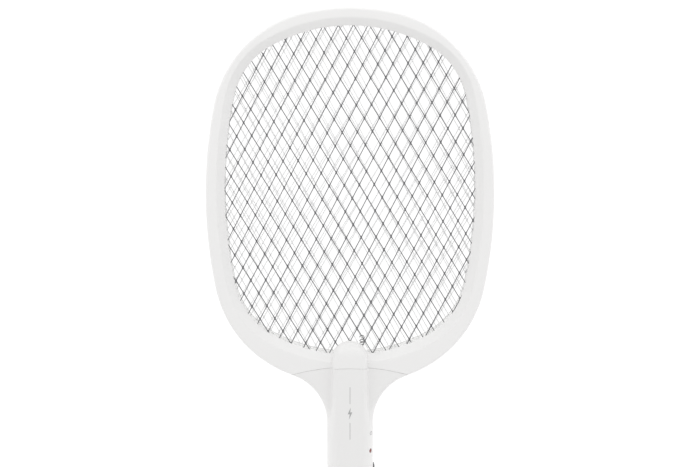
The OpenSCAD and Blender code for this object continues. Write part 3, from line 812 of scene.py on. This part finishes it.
def alongPath(points, share):
    lengths = [math.dist(a, b) for a, b in zip(points, points[1:])]
    left = share * sum(lengths)
    for a, b, span in zip(points, points[1:], lengths):
        if left <= span:
            t = left / span
            return (a[0] + t * (b[0] - a[0]), a[1] + t * (b[1] - a[1]))
        left -= span
    return points[-1]


def spread(stretches):
    # shares of a path: each stretch runs from its start to its end in a number of equal steps
    return [start + (end - start) * i / steps for start, end, steps in stretches for i in range(steps)]


# parting edge, side, plate's rounding, plate, rib's foot, rib's rounding and rib's flat
shares = spread(((0.0, 0.16, 3), (0.16, 0.36, 7), (0.36, 0.41, 4), (0.41, 0.50, 5), (0.50, 0.79, 9),
                 (0.79, 1.0, 4))) + [1.0]


def mixSections(plain, plate, blend):
    return [(g[0] * (1 - blend) + n[0] * blend, g[1] * (1 - blend) + n[1] * blend)
            for g, n in zip(plain, plate)]


def frontHalfSection(w, inset, blend):
    # half section of the front shell from its parting edge up to the middle line
    r = grip["frontRound"]
    plain = [(w - inset, partZ), (w - inset, frontZ - r)]
    plain += quarterRound((w - r, frontZ - r), r - inset, 0, 90, 24) + [(0.0, frontZ - inset)]
    side, plate = w - inset, headThick - inset
    ribR = rib["round"] - inset
    ribTop = rib["halfWidth"] - inset - ribR
    edge = max(min(neck["plateRound"], w - rib["halfWidth"] - rib["foot"] - 0.3) - inset * 0.5, 0.4)
    footX = min(rib["halfWidth"] - inset + rib["foot"], side - edge - 0.05)
    ribArc = quarterRound((ribTop, frontZ - rib["round"]), ribR, rib["footAngle"], 90, 9)
    stepped = [(side, partZ + (plate - edge - partZ) * i / 3) for i in range(3)]
    stepped += quarterRound((side - edge, plate - edge), edge, 0, 90, 7)[:7]
    stepped += [(side - edge + (footX - side + edge) * i / 4, plate) for i in range(4)]
    foot, bend, start = (footX, plate), (ribArc[0][0] + 0.1, plate), ribArc[0]
    for i in range(5):
        t = i / 5
        stepped.append(tuple((1 - t) ** 2 * a + 2 * t * (1 - t) * b + t * t * c
                             for a, b, c in zip(foot, bend, start)))
    stepped += ribArc[:9] + [(ribTop * (1 - i / 4), frontZ - inset) for i in range(5)]
    return mixSections([alongPath(plain, share) for share in shares], stepped, blend)


def backHalfSection(w, inset, blend):
    # half section of the back shell from its parting edge down to the middle line
    r, edge = grip["backRound"], neck["plateRound"] - inset * 0.5
    plain = [(w - inset, partZ), (w - inset, r)]
    plain += quarterRound((w - r, r), r - inset, 0, -90, 24) + [(0.0, inset)]
    plate = [(w - inset, partZ), (w - inset, inset + edge)]
    plate += quarterRound((w - inset - edge, inset + edge), edge, 0, -90, 16) + [(0.0, inset)]
    places = [i / 32 for i in range(33)]
    return mixSections([alongPath(plain, share) for share in places],
                       [alongPath(plate, share) for share in places], blend)


# rows across the shells: distances below the seam, then places along the grip
belowSeam = [0.0, 0.25, 1.0, 2.5, 4.5] + [7 + 2.5 * i for i in range(16)] + [50, 60]
gripRows = [-92.0, -105.0, -130.0, -160.0, -190.0, -215.0]
bending = {"from": -50.0, "power": 1.3}  # rows bend with the seam and straighten towards this place


def shellRows(half):
    rows = []
    stations = [neck["seamTop"] - d for d in belowSeam] + gripRows + [shellEnd + 0.25, shellEnd]
    for y0 in stations:
        share = (y0 - bending["from"]) / (neck["seamTop"] - bending["from"])
        fade = min(max(share, 0.0), 1.0) ** bending["power"]
        ease = grip["ease"] if y0 in (stations[0], stations[-1]) else 0.0
        w = bentHalf(y0, fade)
        loops = []
        for inset in (ease, grip["wall"]):
            loop = [(x, y0 - seamDrop(x) * fade, z) for x, z in half(w, inset, blendAt(y0))]
            loops.append(loop + [(-x, y, z) for x, y, z in reversed(loop[:-1])])
        rows.append(loops[0] + list(reversed(loops[1])))
    return rows


def shellMesh(half):
    rows = shellRows(half)
    points, faces = loftClosed(rows, caps=False)
    count = len(rows[0])
    for base, flip in ((0, False), (len(points) - count, True)):
        for i in range(count // 2 - 1):
            quad = (base + i, base + i + 1, base + count - 2 - i, base + count - 1 - i)
            faces.append(quad if flip else tuple(reversed(quad)))
    return points, faces


def middleOf(low, high, n):
    return (low[n] + high[n]) / 2


knobLow, knobHigh = corner("slide_switch_knob", 0), corner("slide_switch_knob", 1)
lensLow, lensHigh = corner("indicator_lens", 0), corner("indicator_lens", 1)
thumbLow, thumbHigh = corner("plug_thumb_slider", 0), corner("plug_thumb_slider", 1)
buttonLow, buttonHigh = corner("fire_button", 0), corner("fire_button", 1)
knobY = middleOf(knobLow, knobHigh, 1)
neckY = corner("plug_carrier", 1)[1] - 1  # top end of the thumb slider's neck
button = {"y": middleOf(buttonLow, buttonHigh, 1), "hole": 6.3, "mouth": 7.1, "radius": 6.0, "flange": 7.2}
lens = {"y": middleOf(lensLow, lensHigh, 1), "radius": (lensHigh[1] - lensLow[1]) / 2, "turn": 32.0,
        "inner": 8.7, "outer": 11.1, "crown": 0.45, "gap": 0.08}
knobSlot = {"below": 3.3, "above": 7.3, "low": 12.7, "high": 15.3, "round": 1.0}
thumbSlot = {"halfWidth": 2.8, "length": 26.3, "above": 0.3, "low": 20.0, "round": 2.4}


def onShoulder(mesh, y, turn):
    # turns a mesh that points along X so that it leaves the grip's shoulder square on
    points, faces = mesh
    swing = Matrix.Rotation(-math.radians(turn), 4, "Y")
    start = Vector((halfHandle - grip["frontRound"], y, frontZ - grip["frontRound"]))
    return [tuple(start + swing @ Vector(p)) for p in points], faces


def frontShell():
    piece = makePiece("handleFrontShell", *shellMesh(frontHalfSection), "handlePlastic")
    hole, mouth = button["hole"], button["mouth"]
    buttonHole = [(0, partZ + 5), (hole, partZ + 5), (hole, frontZ - 0.5), (mouth, frontZ + 0.3),
                  (mouth, frontZ + 3), (0, frontZ + 3)]
    slotLow = (halfHandle - 3, knobY - knobSlot["below"], knobSlot["low"])
    slotHigh = (halfHandle + 1, knobY + knobSlot["above"], knobSlot["high"])
    sideSlot = roundedBox(slotLow, slotHigh, knobSlot["round"], 4, 0)
    half = thumbSlot["halfWidth"]
    frontSlot = roundedBox((-half, neckY - thumbSlot["length"], thumbSlot["low"]),
                           (half, neckY + thumbSlot["above"], frontZ + 2), thumbSlot["round"], 6, 2)
    lampHole = onShoulder(rod(lens["radius"] + lens["gap"], (8, 0, 0), (13, 0, 0), "x", 40),
                          lens["y"], lens["turn"])
    tools = [revolve(buttonHole, (0, button["y"], 0)), sideSlot, lampHole, frontSlot]
    combinePieces(piece, [cutter(*tool) for tool in tools], "DIFFERENCE")
    tidyNormals(piece, 30)
    return place(piece, "swatter", "handle_plastic", "handle_front_shell")


boss = {"radius": 3.4, "bottom": 1.0, "neckGap": 2.0, "skin": 0.3, "reach": 5.0}


def screwBoss(x, y):
    # stops below the neck's tab, or is trimmed to the grip's rounded back
    if y == neckScrew[1]:
        return cutter(*rod(boss["radius"], (x, y, boss["bottom"]), (x, y, partZ - boss["neckGap"])))
    made = cutter(*rod(boss["radius"], (x, y, boss["bottom"]), (x, y, partZ)))
    outline = gripOutline(boss["skin"])
    ends = (y - boss["reach"], y + boss["reach"])
    inside = loftClosed([[(px, end, pz) for px, pz in outline] for end in ends])
    return combinePieces(made, [cutter(*inside)], "INTERSECT")


def backShell():
    piece = makePiece("handleBackShell", *shellMesh(backHalfSection), "handlePlastic")
    combinePieces(piece, [screwBoss(x, y) for x, y in shellScrews], "UNION")
    combinePieces(piece, [recessTool(x, y) for x, y in shellScrews], "DIFFERENCE")
    tidyNormals(piece, 30)
    return place(piece, "swatter", "handle_plastic", "handle_back_shell")


def gripOutline(inset):
    right = frontHalfSection(halfHandle, inset, 0.0)
    under = backHalfSection(halfHandle, inset, 0.0)
    upper = right + [(-x, z) for x, z in reversed(right[:-1])]
    lower = [(-x, z) for x, z in under] + [(x, z) for x, z in reversed(under[:-1])]
    return upper[:-1] + lower[:-1]


pinLow, pinHigh = corner("plug_pins", 0), corner("plug_pins", 1)
pin = {"radius": 2.0, "gap": 0.08, "z": middleOf(pinLow, pinHigh, 2), "x": pinHigh[0] - 2.0}
cap = {"tongueInset": 2.3, "hangRadius": 2.5, "hangChamfer": 0.7, "hangFromEnd": 5.0,
       "endRows": ((3.2, 0.0), (2.0, 0.25), (1.1, 0.75), (0.45, 1.6), (0.1, 2.7), (0.0, 3.9))}


def tailCap():
    top = corner("tail_cap", 1)[1]
    stations = [(top, cap["tongueInset"]), (shellEnd, cap["tongueInset"]), (shellEnd - 0.02, grip["ease"]),
                (shellEnd - 0.25, 0.0)] + [(tailEnd + up, inset) for up, inset in cap["endRows"]]
    rows = [[(x, y, z) for x, z in gripOutline(inset)] for y, inset in stations]
    piece = makePiece("tailCap", *loftClosed(rows), "handlePlastic")
    bore = pin["radius"] + pin["gap"]
    tools = [rod(bore, (side * pin["x"], tailEnd - 2, pin["z"]), (side * pin["x"], top + 2, pin["z"]), "y")
             for side in (-1, 1)]
    hang, c = cap["hangRadius"], cap["hangChamfer"]
    hangHole = [(0, -2), (hang + c + 2, -2), (hang + c, 0), (hang, c),
                (hang, frontZ - c), (hang + c, frontZ), (hang + c + 2, frontZ + 2), (0, frontZ + 2)]
    tools.append(revolve(hangHole, (0, tailEnd + cap["hangFromEnd"], 0)))
    combinePieces(piece, [cutter(*tool) for tool in tools], "DIFFERENCE")
    tidyNormals(piece, 30)
    return place(piece, "swatter", "handle_plastic", "tail_cap")


print("handle shells")
frontShell()
backShell()
tailCap()


# screws by geometry nodes
screw = {"head": 2.25, "headHeight": 1.5, "shank": 1.2, "shankEnd": 6.5, "tip": 0.5, "tipEnd": 7.6,
         "crossLong": 1.35, "crossWide": 0.32, "crossDepth": 0.75}


def screwShape():
    # pan head down, cross recess, plain shank with a blunt tip
    r, h = screw["head"], screw["headHeight"]
    profile = [(0, -h)] + [(r * math.sin(math.radians(a)), -h * (0.45 + 0.55 * math.cos(math.radians(a))))
                           for a in range(15, 91, 15)]
    profile += [(r, 0), (screw["shank"], 0), (screw["shank"], screw["shankEnd"]),
                (screw["tip"], screw["tipEnd"]), (0, screw["tipEnd"])]
    piece = makePiece("screwShape", *revolve(profile, (0, 0, 0), "z", 28), "screwSteel")
    long, wide = screw["crossLong"], screw["crossWide"]
    slots = [roundedBox((-x, -y, -2), (x, y, -screw["crossDepth"]), 0.2, 2)
             for x, y in ((long, wide), (wide, long))]
    combinePieces(piece, [cutter(*slot) for slot in slots], "DIFFERENCE")
    tidyNormals(piece, 35)
    return piece


def screwTree():
    tree, given = startTree("screwSet", {
        "Screw": ("NodeSocketObject", None), "Depth": ("NodeSocketFloat", 0.003),
        "Seed": ("NodeSocketInt", 7), "Material": ("NodeSocketMaterial", None)})
    shape = node(tree, "GeometryNodeObjectInfo", {"transform_space": "ORIGINAL"},
                 {"Object": given["Screw"]}, "Geometry")
    turn = node(tree, "FunctionNodeRandomValue", {"data_type": "FLOAT"},
                {"Min": 0.0, "Max": 6.28, "Seed": given["Seed"]}, "Value")
    made = node(tree, "GeometryNodeInstanceOnPoints", None,
                {"Points": given["Geometry"], "Instance": shape, "Rotation": combine(tree, z=turn)})
    sunk = node(tree, "GeometryNodeTransform", None,
                {"Geometry": made, "Translation": combine(tree, z=given["Depth"])})
    return endTree(tree, sunk, given["Material"])


print("screws")
screwMesh = screwShape()
screwNodes = screwTree()
for name, spots, nodeName in (("rimScrews", screwPlaces(), "rim_screws"),
                              ("handleScrews", shellScrews, "handle_screws")):
    piece = grow(name, screwNodes, {"Screw": screwMesh, "Depth": recess["depth"] * mm,
                                    "Material": finish["screwSteel"]},
                 [(x * mm, y * mm, 0) for x, y in spots])
    place(piece, "swatter", "screw_steel", nodeName)
bpy.data.objects.remove(screwMesh)


# coils by geometry nodes
def coilTree():
    number = "NodeSocketFloat"
    tree, given = startTree("coil", {
        "Turns": (number, 4.0), "Radius": (number, 0.002), "Height": (number, 0.008),
        "Wire": (number, 0.0003), "Base": ("NodeSocketVector", (0, 0, 0)),
        "Resolution": ("NodeSocketInt", 24), "Material": ("NodeSocketMaterial", None)})
    curve = node(tree, "GeometryNodeCurveSpiral", None,
                 {"Resolution": given["Resolution"], "Rotations": given["Turns"],
                  "Start Radius": given["Radius"], "End Radius": given["Radius"], "Height": given["Height"]})
    ring = node(tree, "GeometryNodeCurvePrimitiveCircle", {"mode": "RADIUS"},
                {"Resolution": 10, "Radius": given["Wire"]})
    tube = node(tree, "GeometryNodeCurveToMesh", None,
                {"Curve": curve, "Profile Curve": ring, "Fill Caps": True})
    moved = node(tree, "GeometryNodeTransform", None, {"Geometry": tube, "Translation": given["Base"]})
    return endTree(tree, moved, given["Material"])


def tubeAlong(name, path, radius, material, sides):
    # round wire through the points, its ends capped
    rows = []
    for i, p in enumerate(path):
        before = Vector(path[i - 1] if i else path[0])
        after = Vector(path[i + 1] if i < len(path) - 1 else path[-1])
        heading = (after - before).normalized()
        side = heading.orthogonal() if not rows else side - side.dot(heading) * heading
        side.normalize()
        other = heading.cross(side)
        rows.append([tuple(Vector(p) + radius * (math.cos(a) * side + math.sin(a) * other))
                     for a in [2 * math.pi * k / sides for k in range(sides)]])
    return makePiece(name, *loftClosed(rows), material)


def smoothPath(points, per=8):
    # Catmull-Rom through the points
    pts = [Vector(p) for p in points]
    pts = [2 * pts[0] - pts[1]] + pts + [2 * pts[-1] - pts[-2]]
    line = []
    for a, b, c, d in zip(pts, pts[1:], pts[2:], pts[3:]):
        for i in range(per):
            t = i / per
            line.append(0.5 * ((2 * b) + (c - a) * t + (2 * a - 5 * b + 4 * c - d) * t * t
                               + (3 * b - a - 3 * c + d) * t ** 3))
    return line + [pts[-2]]


contactLow, contactHigh = corner("hv_contact_spring", 0), corner("hv_contact_spring", 1)
contact = {"x": middleOf(contactLow, contactHigh, 0), "z": middleOf(contactLow, contactHigh, 2),
           "start": contactLow[1], "end": contactHigh[1], "radius": 1.55, "wire": 0.32, "turns": 3.2,
           "hookLength": 3.2, "hookRadius": 1.6, "hookFrom": -70, "hookSweep": 250, "hookRise": 0.3}


def contactSpring():
    # a few turns lying on the middle mesh, the free end bent into a hook
    perTurn, hookSteps = 20, 21
    steps = int(contact["turns"] * perTurn)
    coilLength = contact["end"] - contact["hookLength"] - contact["start"]
    path = []
    for i in range(steps + 1):
        a, y = 2 * math.pi * i / perTurn, contact["start"] + coilLength * i / steps
        path.append((contact["x"] + contact["radius"] * math.cos(a), y,
                     contact["z"] + contact["radius"] * math.sin(a)))
    r, low = contact["hookRadius"], path[-1][2]
    hookY = contact["end"] - r - contact["hookRise"]
    for i in range(1, hookSteps + 1):
        a = math.radians(contact["hookFrom"] + contact["hookSweep"] * i / hookSteps)
        path.append((contact["x"] + r * math.cos(a), hookY + r * math.sin(a),
                     low + contact["hookRise"] * i / hookSteps))
    return tubeAlong("hvContactSpring", path, contact["wire"], "springSteel", 10)


returnSpring = {"turns": 6.0, "radius": 2.6, "wire": 0.3, "endGap": 0.35, "keep": 0.8}


def buttonSpring():
    low, high = corner("button_spring", 0)[2], corner("button_spring", 1)[2]
    gap = returnSpring["endGap"]
    coil = grow("buttonSpring", coilTree(), {
        "Turns": returnSpring["turns"], "Radius": returnSpring["radius"] * mm,
        "Height": (high - low - 2 * gap) * mm, "Wire": returnSpring["wire"] * mm,
        "Base": [0, button["y"] * mm, (low + gap) * mm], "Resolution": 24,
        "Material": finish["springSteel"]})
    coil.data.shade_smooth()
    place(coil, "swatter", "spring_steel", "button_spring")
    button["y"] * mm
    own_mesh(coil)


print("springs and leads")
place(contactSpring(), "swatter", "spring_steel", "hv_contact_spring")
buttonSpring()

leadRadius = 0.78
leads = {
    "hvLead": {"node": "hv_lead", "finish": "redWire", "slot": "red_insulation",
               "path": [(-4, -69.6, 11.6), (-4, -69.6, 13), (-4, -66, 15.6), (-4, -60, 17), (-4, -47, 18.2),
                        (-4, -34, 19), (2, -24, 19.8), (7.6, -15.5, 20.6), (8.8, -10, 20.7),
                        (8.8, -7.6, 19.8), (8.8, -7, 16.5), (8.8, -7, 13.6)]},
    "groundLead": {"node": "ground_lead", "finish": "blackWire", "slot": "black_insulation",
                   "path": [(5, -69.6, 11.6), (5, -69.6, 12.6), (5, -66, 13.9), (4, -58, 14.3),
                            (-3, -44, 14.3), (-9.8, -32, 14.3), (-11, -25, 14.3), (-11, -14.4, 14.3)]}}
for name, look in leads.items():
    piece = tubeAlong(name, smoothPath(look["path"]), leadRadius, look["finish"], 12)
    place(piece, "swatter", look["slot"], look["node"])


# controls
def barTree():
    number = "NodeSocketFloat"
    tree, given = startTree("gripRibs", {
        "Bar": ("NodeSocketObject", None), "Count": ("NodeSocketInt", 5), "Pitch": (number, 0.0018),
        "First": ("NodeSocketVector", (0, 0, 0)), "Material": ("NodeSocketMaterial", None)})
    line = node(tree, "GeometryNodeMeshLine", {"mode": "OFFSET"},
                {"Count": given["Count"], "Start Location": given["First"],
                 "Offset": combine(tree, y=given["Pitch"])})
    shape = node(tree, "GeometryNodeObjectInfo", {"transform_space": "ORIGINAL"},
                 {"Object": given["Bar"]}, "Geometry")
    made = node(tree, "GeometryNodeInstanceOnPoints", None, {"Points": line, "Instance": shape})
    joined = tree.nodes.new("GeometryNodeJoinGeometry")
    tree.links.new(made.socket, joined.inputs[0])
    return endTree(tree, Wire(tree, joined.outputs[0]), given["Material"])


gripRib = {"halfWidth": 0.45, "height": 0.55, "pitch": 1.9, "sunk": 0.6}


def ribs(name, barMesh, count, first, body):
    # raised bars in a row along Y, on a dark moulded part
    bar = makePiece("bar", *barMesh, "knobPlastic")
    piece = grow(name, ribNodes, {"Bar": bar, "Count": count, "Pitch": gripRib["pitch"] * mm,
                                  "First": [c * mm for c in first], "Material": finish["knobPlastic"]})
    bpy.data.objects.remove(bar)
    tidyNormals(piece, 35)
    return place(piece, body, "knob_black")


print("controls")
ribNodes = barTree()


knob = {"gap": 0.3, "ribRoom": 0.35, "round": 1.6, "stemHalf": 3.0, "stemLow": 13.0, "stemHigh": 15.0,
        "barHalf": 2.6, "ribs": 6}


def modeKnob():
    plateX, plateEnd = halfHandle + knob["gap"], knobHigh[0] - knob["ribRoom"]
    plate = roundedBox((plateX, *knobLow[1:]), (plateEnd, *knobHigh[1:]), knob["round"], 6, 0)
    body = makePiece("modeKnob", *plate, "knobPlastic")
    stem = roundedBox((knobLow[0], knobY - knob["stemHalf"], knob["stemLow"]),
                      (plateX + 0.3, knobY + knob["stemHalf"], knob["stemHigh"]), 0.5, 3, 0)
    combinePieces(body, [cutter(*stem)], "UNION")
    tidyNormals(body, 35)
    place(body, "mode_knob", "knob_black", "slide_switch_knob")
    wide, long = gripRib["halfWidth"], knob["barHalf"]
    bar = roundedBox((0, -wide, -long), (gripRib["height"], wide, long), 0.3, 3, 2)
    first = (knobHigh[0] - gripRib["sunk"], knobY - gripRib["pitch"] * (knob["ribs"] - 1) / 2,
             middleOf(knobLow, knobHigh, 2))
    ribs("modeKnobRibs", bar, knob["ribs"], first, "mode_knob")


press = {"stem": 1.5, "stemChamfer": 0.2, "flangeDown": 2.4, "flangeThick": 1.5, "edgeRound": 0.7,
         "dishDepth": 0.75, "dishRise": 0.6}


def triggerButton():
    r, bottom, top, wide = button["radius"], buttonLow[2], buttonHigh[2], button["flange"]
    stem, c, edge = press["stem"], press["stemChamfer"], press["edgeRound"]
    flangeTop = frontZ - press["flangeDown"]
    flangeLow = flangeTop - press["flangeThick"]
    profile = [(0, bottom), (stem - c, bottom), (stem, bottom + c), (stem, flangeLow), (wide, flangeLow),
               (wide, flangeTop), (r, flangeTop), (r, top - edge)]
    profile += [(r - edge + x, top - edge + z) for x, z in quarterRound((0, 0), edge, 15, 90, 5)]
    profile += [(r * s, top - press["dishDepth"] + press["dishRise"] * s * s)
                for s in (0.82, 0.7, 0.5, 0.25, 0.0)]
    piece = makePiece("triggerButton", *revolve(profile, (0, button["y"], 0), "z", 72), "buttonPlastic")
    tidyNormals(piece, 40)
    place(piece, "trigger", "button_grey", "fire_button")


thumb = {"ribRoom": 0.35, "round": 2.4, "barHalf": 4.2, "barHeight": 0.5, "ribs": 5}


def thumbSlider():
    plateTop = thumbHigh[2] - thumb["ribRoom"]
    plate = roundedBox(thumbLow, (thumbHigh[0], thumbHigh[1], plateTop), thumb["round"], 6, 2)
    piece = makePiece("thumbSlider", *plate, "knobPlastic")
    place(piece, "plug", "knob_black", "plug_thumb_slider")
    wide, long, high = gripRib["halfWidth"], thumb["barHalf"], thumb["barHeight"]
    bar = roundedBox((-long, -wide, 0), (long, wide, high), 0.25, 3, 0)
    firstY = middleOf(thumbLow, thumbHigh, 1) - gripRib["pitch"] * (thumb["ribs"] - 1) / 2
    ribs("thumbSliderRibs", bar, thumb["ribs"], (0, firstY, thumbHigh[2] - high), "plug")


def lampLens():
    r, crown = lens["radius"], lens["crown"]
    shoulder = lens["outer"] - crown
    profile = [(0, lens["inner"]), (r, lens["inner"]), (r, shoulder)]
    profile += [(r * math.cos(math.radians(a)), shoulder + crown * math.sin(math.radians(a)))
                for a in range(15, 91, 15)]
    mesh = onShoulder(revolve(profile, (0, 0, 0), "x", 40), lens["y"], lens["turn"])
    piece = makePiece("lampLens", *mesh, "lensRed")
    place(piece, "swatter", "lens_red", "indicator_lens")


def plugPins():
    tip = pinLow[1]
    profile = [(0, tip), (0.9, tip + 0.1), (1.6, tip + 0.6), (1.95, tip + 1.5), (pin["radius"], tip + 2.4),
               (pin["radius"], pinHigh[1]), (0, pinHigh[1])]
    points, faces = [], []
    for side in (-1, 1):
        p, f = revolve(profile, (side * pin["x"], 0, pin["z"]), "y", 40)
        faces += [tuple(i + len(points) for i in face) for face in f]
        points += p
    piece = makePiece("plugPins", points, faces, "pinBrass")
    place(piece, "plug", "pin_brass", "plug_pins")


modeKnob()
triggerButton()
thumbSlider()
lampLens()
plugPins()


# generic printed mark, a flash between two lines, and a ring beside the lamp
mark = {"top": -32.5, "bottom": -72.5, "line": 0.55, "clear": 7.0, "flash": (5.0, 9.0), "sunk": 0.1,
        "lift": 0.03}
ring = {"y": -69.0, "turn": 29.0, "outer": 1.5, "inner": 1.05, "sunk": 0.2}


def boltMark(centreY):
    outline = [(0.10, 0.5), (-0.34, -0.06), (-0.04, -0.06), (-0.14, -0.5), (0.34, 0.10), (0.04, 0.10)]
    wide, long = mark["flash"]
    rows = [[(x * wide, centreY + y * long, z) for x, y in outline]
            for z in (frontZ - mark["sunk"], frontZ + mark["lift"])]
    return makePiece("printFlash", *loftClosed(rows), "printInk")


def printMarks():
    middle, half = (mark["top"] + mark["bottom"]) / 2, mark["line"] / 2
    place(boltMark(middle), "swatter", "button_grey")
    for name, y0, y1 in (("printLineUpper", middle + mark["clear"], mark["top"]),
                         ("printLineLower", mark["bottom"], middle - mark["clear"])):
        bar = roundedBox((-half, y0, frontZ - mark["sunk"]), (half, y1, frontZ + mark["lift"]), 0.2, 3, 2)
        place(makePiece(name, *bar, "printInk"), "swatter", "button_grey")
    top = grip["frontRound"] + mark["lift"]
    low = top - ring["sunk"]
    profile = [(ring["inner"], low), (ring["outer"], low), (ring["outer"], top), (ring["inner"], top),
               (ring["inner"], low)]
    mesh = onShoulder(revolve(profile, (0, 0, 0), "x", 36), ring["y"], ring["turn"])
    place(makePiece("printRing", *mesh, "printInk"), "swatter", "button_grey")


print("print")
printMarks()

# CAD pieces that keep their shape get their finish
kept = {
    # the spacer rings take the whitened spacer plastic, painted light for the shaded pocket under the lip
    "front_spacer_ring": "spacerPlasticPaintedLight", "back_spacer_ring": "spacerPlasticPaintedLight",
    "ground_contact_strap": "springSteel", "circuit_board": "board", "hv_transformer": "ferrite",
    "hv_capacitor": "capacitorRed", "charging_capacitor": "capacitorBrown", "rectifier_diodes": "blackEpoxy",
    "drive_transistor": "blackEpoxy", "discharge_resistor": "resistorTan", "tact_switch": "blackEpoxy",
    "slide_switch_body": "switchCan", "indicator_led": "lampRed", "battery_cell": "cellCan",
    "battery_contacts": "springSteel", "plug_carrier": "carrierPlastic",
    "plug_contact_springs": "contactBrass"}
for name, material in kept.items():
    for held in cad[name].material_slots:
        held.material = finish[material]

# floor, light and camera
print("studio")
studio = {"floorShade": 0.25, "floorGlow": 0.86, "floorHalf": 4.0, "floorDown": 0.0006, "ambient": 0.69,
          "headSide": 7.0, "handleSide": 3.45, "flank": 3.3, "height": 0.62, "distance": 1.35,
          "stripSize": (1.8, 0.7), "overhead": 1.0, "overheadAt": (0, 0.1, 1.9), "overheadSize": (1.4, 1.4),
          "aim": (0, 0.05, 0)}
eye = {"distance": 1.160, "tilt": math.radians(8.0), "lens": 81.4, "shift": -0.0527}


def floorMaterial():
    made, tree = startMaterial("paleFloor")
    shade = studio["floorShade"]
    return finishMaterial(made, tree, {"Base Color": (shade, shade, shade, 1), "Roughness": 0.9,
                                       "Specular IOR Level": 0.1, "Emission Color": (1, 1, 1, 1),
                                       "Emission Strength": studio["floorGlow"]})


def addFloor():
    half, z = studio["floorHalf"], -studio["floorDown"]
    mesh = bpy.data.meshes.new("floor")
    corners = [(-half, -half, z), (half, -half, z), (half, half, z), (-half, half, z)]
    mesh.from_pydata(corners, [], [(0, 1, 2, 3)])
    mesh.materials.append(floorMaterial())
    floor = bpy.data.objects.new("floor", mesh)
    bpy.context.scene.collection.objects.link(floor)


def addArea(name, spot, size, power):
    lamp = bpy.data.lights.new(name, "AREA")
    lamp.shape, lamp.size, lamp.size_y, lamp.energy = "RECTANGLE", size[0], size[1], power
    held = bpy.data.objects.new(name, lamp)
    held.location = spot
    held.rotation_euler = (Vector(studio["aim"]) - Vector(spot)).to_track_quat("-Z", "Y").to_euler()
    bpy.context.scene.collection.objects.link(held)


def addWorld():
    world = bpy.data.worlds.new("softRoom")
    bpy.context.scene.world = world
    world.use_nodes = True
    sky = world.node_tree.nodes["Background"].inputs
    sky["Color"].default_value = (1, 1, 1, 1)
    sky["Strength"].default_value = studio["ambient"]


def addCamera():
    aim = Vector((0, rim["centre"] * mm, partZ * mm))
    data = bpy.data.cameras.new("camera")
    data.lens, data.sensor_width, data.shift_y = eye["lens"], 36.0, eye["shift"]
    data.clip_start = 0.05
    camera = bpy.data.objects.new("camera", data)
    camera.location = aim + eye["distance"] * Vector((0, math.sin(eye["tilt"]), math.cos(eye["tilt"])))
    camera.rotation_euler = (-eye["tilt"], 0, 0)
    bpy.context.scene.collection.objects.link(camera)
    bpy.context.scene.camera = camera


addFloor()
for name, x, y, power in (("headSideLight", 0, 1, "headSide"), ("handleSideLight", 0, -1, "handleSide"),
                          ("leftLight", -1, 0, "flank"), ("rightLight", 1, 0, "flank")):
    away = studio["distance"]
    addArea(name, (x * away, y * away, studio["height"]), studio["stripSize"], studio[power])
addArea("overhead", studio["overheadAt"], studio["overheadSize"], studio["overhead"])
addWorld()
addCamera()
bpy.context.scene.view_settings.view_transform = "Standard"
